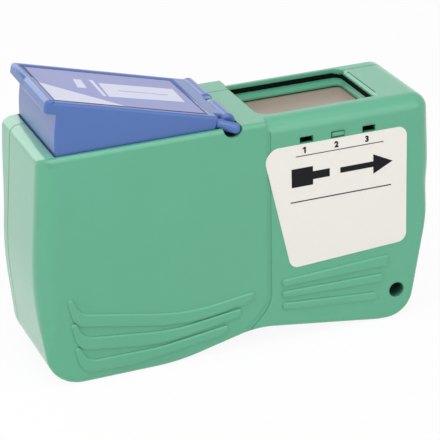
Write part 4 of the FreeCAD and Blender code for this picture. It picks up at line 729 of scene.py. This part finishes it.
def screw_tree():
    """Node tree that sets a tapered head with a cross recess, and a shank, on every point."""
    # The cross is cross_reach head radii long, and the head narrows to face_share of its radius.
    cross_reach, face_share = 1.3, 0.85
    head_sides, shank_sides = 40, 24
    tree = bpy.data.node_groups.new("cover_screw_set", "GeometryNodeTree")
    tree.is_modifier = True
    tree.interface.new_socket("Geometry", in_out="INPUT", socket_type="NodeSocketGeometry")
    inputs = {}
    for name in ("Head radius", "Head height", "Recess width", "Recess depth", "Shank radius"):
        socket = tree.interface.new_socket(name, in_out="INPUT", socket_type="NodeSocketFloat")
        socket.subtype = "DISTANCE"
        inputs[name] = socket.identifier
    look = tree.interface.new_socket("Material", in_out="INPUT", socket_type="NodeSocketMaterial")
    inputs["Material"] = look.identifier
    tree.interface.new_socket("Geometry", in_out="OUTPUT", socket_type="NodeSocketGeometry")
    given = add_node(tree, "NodeGroupInput").outputs
    under = add_node(tree, "ShaderNodeMath", {"operation": "MULTIPLY"}, {
        0: given["Head height"], 1: -1.0,
    })
    down = add_node(tree, "ShaderNodeCombineXYZ", None, {"Z": under.outputs["Value"]})
    narrow = add_node(tree, "ShaderNodeMath", {"operation": "MULTIPLY"}, {
        0: given["Head radius"], 1: face_share,
    })
    cone = add_node(tree, "GeometryNodeMeshCone", None, {
        "Vertices": head_sides, "Radius Top": narrow.outputs["Value"],
        "Radius Bottom": given["Head radius"], "Depth": given["Head height"],
    })
    blank = add_node(tree, "GeometryNodeTransform", None, {
        "Geometry": cone.outputs["Mesh"], "Translation": down.outputs["Vector"],
    })
    # The two cutters are centred on the head's face, so they are twice as deep as the recess.
    deep = add_node(tree, "ShaderNodeMath", {"operation": "MULTIPLY"}, {
        0: given["Recess depth"], 1: 2.0,
    })
    reach = add_node(tree, "ShaderNodeMath", {"operation": "MULTIPLY"}, {
        0: given["Head radius"], 1: cross_reach,
    })
    long, slim = reach.outputs["Value"], given["Recess width"]
    cuts = []
    for wide, tall in ((long, slim), (slim, long)):
        size = add_node(tree, "ShaderNodeCombineXYZ", None, {
            "X": wide, "Y": tall, "Z": deep.outputs["Value"],
        })
        cuts.append(add_node(tree, "GeometryNodeMeshCube", None, {"Size": size.outputs["Vector"]}))
    head = add_node(tree, "GeometryNodeMeshBoolean", {"operation": "DIFFERENCE", "solver": "EXACT"}, {
        "Mesh 1": blank.outputs["Geometry"], "Mesh 2": cuts[0].outputs["Mesh"],
    })
    tree.links.new(cuts[1].outputs["Mesh"], head.inputs["Mesh 2"])
    # The shank is one unit long under the point, and each screw stretches it to its own length.
    rod = add_node(tree, "GeometryNodeMeshCylinder", None, {
        "Vertices": shank_sides, "Radius": given["Shank radius"], "Depth": 1.0,
    })
    hung = add_node(tree, "GeometryNodeTransform", None, {
        "Geometry": rod.outputs["Mesh"], "Translation": (0, 0, -0.5),
    })
    length = add_node(tree, "GeometryNodeInputNamedAttribute", {"data_type": "FLOAT"}, {"Name": "shank"})
    stretch = add_node(tree, "ShaderNodeCombineXYZ", None, {
        "X": 1.0, "Y": 1.0, "Z": length.outputs["Attribute"],
    })
    turn = (math.radians(-90), 0, 0)
    heads = add_node(tree, "GeometryNodeInstanceOnPoints", None, {
        "Points": given["Geometry"], "Instance": head.outputs["Mesh"], "Rotation": turn,
    })
    shanks = add_node(tree, "GeometryNodeInstanceOnPoints", None, {
        "Points": given["Geometry"], "Instance": hung.outputs["Geometry"], "Rotation": turn,
        "Scale": stretch.outputs["Vector"],
    })
    inwards = add_node(tree, "ShaderNodeCombineXYZ", None, {"Y": under.outputs["Value"]})
    lowered = add_node(tree, "GeometryNodeTranslateInstances", None, {
        "Instances": shanks.outputs["Instances"], "Translation": inwards.outputs["Vector"],
        "Local Space": False,
    })
    whole = add_node(tree, "GeometryNodeJoinGeometry", None, {"Geometry": heads.outputs["Instances"]})
    tree.links.new(lowered.outputs["Instances"], whole.inputs["Geometry"])
    real = add_node(tree, "GeometryNodeRealizeInstances", None, {"Geometry": whole.outputs["Geometry"]})
    done = add_node(tree, "GeometryNodeSetMaterial", None, {
        "Geometry": real.outputs["Geometry"], "Material": given["Material"],
    })
    add_node(tree, "NodeGroupOutput", None, {"Geometry": done.outputs["Geometry"]})
    return tree, inputs


class CASSETTE_OT_spring(bpy.types.Operator):
    """Return spring, a smooth copy of the CAD coil"""
    bl_idname = "cassette.spring"
    bl_label = "Return spring"

    def execute(self, context):
        bm = merged(cad_mesh("return_spring"))
        coil = finished(bm, "spring_coil", "steel", "casing", "steel", "return_spring")
        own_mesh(coil)
        return {"FINISHED"}


class CASSETTE_OT_lever(bpy.types.Operator):
    """Press lever with rounded edges and the print on its film"""
    bl_idname = "cassette.lever"
    bl_label = "Lever"

    def execute(self, context):
        sizes = context.scene.cassette_sizes
        low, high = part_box("lever")
        side = 3

        def outside(place):
            """Whether a place in millimetres is near the lever's sides or higher than the hinge."""
            return not low.y / MM + side < place.y < high.y / MM - side or place.z > HINGE.z / MM

        softened("lever", "press_lever", "blue_abs", sizes.lever_edge, outside)
        make_film_print(sizes)
        return {"FINISHED"}


def make_film_print(sizes):
    """White shapes, the slit in the panel, and a line of painted shadow round the film's edge, in millimetres from
    the hinge line.
    """
    plane = film_plane(sizes)
    width, depth = sizes.line_width / MM, sizes.ink_depth
    start, end, near, far = -54.7, -6.8, -15.45, 16.15
    wedge = [(start + width, near + width), (-32.3, near + width), (start + width, 1.0)]
    panel = [(-34.9, -6.9), (-10.2, -5.4), (-9.6, 6.9), (-34.0, 5.8)]
    stripe = [(-36.6, -6.9), (-35.6, -6.8), (-35.0, 8.2), (-36.2, 8.3)]
    patch = [(-42.6, -0.8), (-39.7, -0.5), (-38.9, 7.7), (-41.5, 7.4)]
    slit = [(-29.6, -0.4), (-13.8, -0.1), (-13.8, 0.4), (-29.6, 0.1)]
    white = [wedge, panel, stripe, patch]
    flat_piece("film_white_print", white, plane, depth, "film_white", "press_lever", "lever_film")
    # The slit lies on the panel, so it is thicker.
    flat_piece("film_slit_print", [slit], plane, 1.5 * depth, "lever_film", "press_lever", "lever_film")
    # Painted shadow: a dark ring round the film's edge stands for the shade in the gap between film and recess.
    sections = [
        raised(plane, bar(start + inset, end - inset, near + inset, far - inset), height)
        for inset, height in ((0, -depth), (0, depth), (width, depth), (width, -depth))
    ]
    ring_piece("film_edge_painted_shadow", sections, "film_gap_shadow", "press_lever", "lever_film")


class CASSETTE_OT_label(bpy.types.Operator):
    """Print on the front label"""
    bl_idname = "cassette.label"
    bl_label = "Front label"

    def execute(self, context):
        sizes = context.scene.cassette_sizes
        plane = front_plane(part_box("front_label")[0].y)
        slots, baseline = (21.3, 31.6, 41.7), 61.7
        shapes = label_shapes(slots[0], baseline)
        flat_piece("label_print", shapes, plane, sizes.ink_depth, "ink", "casing", "label_film")
        for i, x in enumerate(slots):
            make_digit(str(i + 1), x, baseline, plane, sizes)
        return {"FINISHED"}


def label_shapes(one, baseline):
    """Two rules, a ferrule in its grip, an arrow, and the flag of the number 1, in millimetres."""
    upper_rule = bar(18.3, 47.2, 60.65, 60.9)
    lower_rule = bar(16.3, 49.8, 45.9, 46.25)
    middle = 53.9
    grip = bar(16.8, 23.8, middle - 3.0, middle + 3.0)
    ferrule = bar(23.8, 29.3, middle - 1.3, middle + 1.3)
    tail, neck, tip = 32.8, 43.8, 50.3
    half_shaft, half_head = 0.9, 3.2
    arrow = [
        (tail, middle - half_shaft), (neck, middle - half_shaft), (neck, middle - half_head), (tip, middle),
        (neck, middle + half_head), (neck, middle + half_shaft), (tail, middle + half_shaft),
    ]
    flag = [
        (one + x, baseline + y) for x, y in ((-0.8, 1.05), (-0.2, 1.45), (-0.2, 1.9), (-0.8, 1.5))
    ]
    return [upper_rule, lower_rule, grip, ferrule, arrow, flag]


def make_digit(digit, x, y, plane, sizes):
    """One slot number, drawn as text and turned into a mesh."""
    curve = bpy.data.curves.new("digit_" + digit, "FONT")
    curve.body = digit
    curve.size = sizes.digit_size
    curve.align_x = "CENTER"
    curve.extrude = sizes.ink_depth
    curve.offset = sizes.digit_weight
    drawn = as_mesh(link("digit_text", curve), "digit_mesh")
    drawn.transform(plane @ Matrix.Translation((x * MM, y * MM, 0)))
    bm = merged(drawn)
    bpy.data.meshes.remove(drawn)
    finished(bm, "slot_number_" + digit, "ink", "casing", "label_film")


class CASSETTE_PT_panel(bpy.types.Panel):
    """A button for each group of pieces, and the colours and sizes"""
    bl_idname = "CASSETTE_PT_panel"
    bl_label = "Cassette"
    bl_space_type = "VIEW_3D"
    bl_region_type = "UI"
    bl_category = "Cassette"

    def draw(self, context):
        for operator in OPERATORS:
            self.layout.operator(operator.bl_idname)
        for name, group in GROUPS.items():
            box = self.layout.box()
            for key in group.__annotations__:
                box.prop(getattr(context.scene, name), key)


OPERATORS = (
    CASSETTE_OT_stage, CASSETTE_OT_finishes, CASSETTE_OT_gap_shadow, CASSETTE_OT_screws, CASSETTE_OT_spring,
    CASSETTE_OT_lever, CASSETTE_OT_label,
)
GROUPS = {
    "cassette_colours": CassetteColours,
    "cassette_sizes": CassetteSizes,
    "cassette_stage": CassetteStage,
}
CLASSES = tuple(GROUPS.values()) + OPERATORS + (CASSETTE_PT_panel,)


def register():
    for made in CLASSES:
        bpy.utils.register_class(made)
    for name, group in GROUPS.items():
        setattr(bpy.types.Scene, name, bpy.props.PointerProperty(type=group))


def unregister():
    for name in GROUPS:
        delattr(bpy.types.Scene, name)
    for made in reversed(CLASSES):
        bpy.utils.unregister_class(made)


def main():
    register()
    bpy.ops.cassette.stage()
    bpy.ops.cassette.finishes()
    bpy.ops.cassette.seal()
    bpy.ops.cassette.screws()
    bpy.ops.cassette.spring()
    bpy.ops.cassette.lever()
    bpy.ops.cassette.label()


if __name__ == "__main__":
    main()
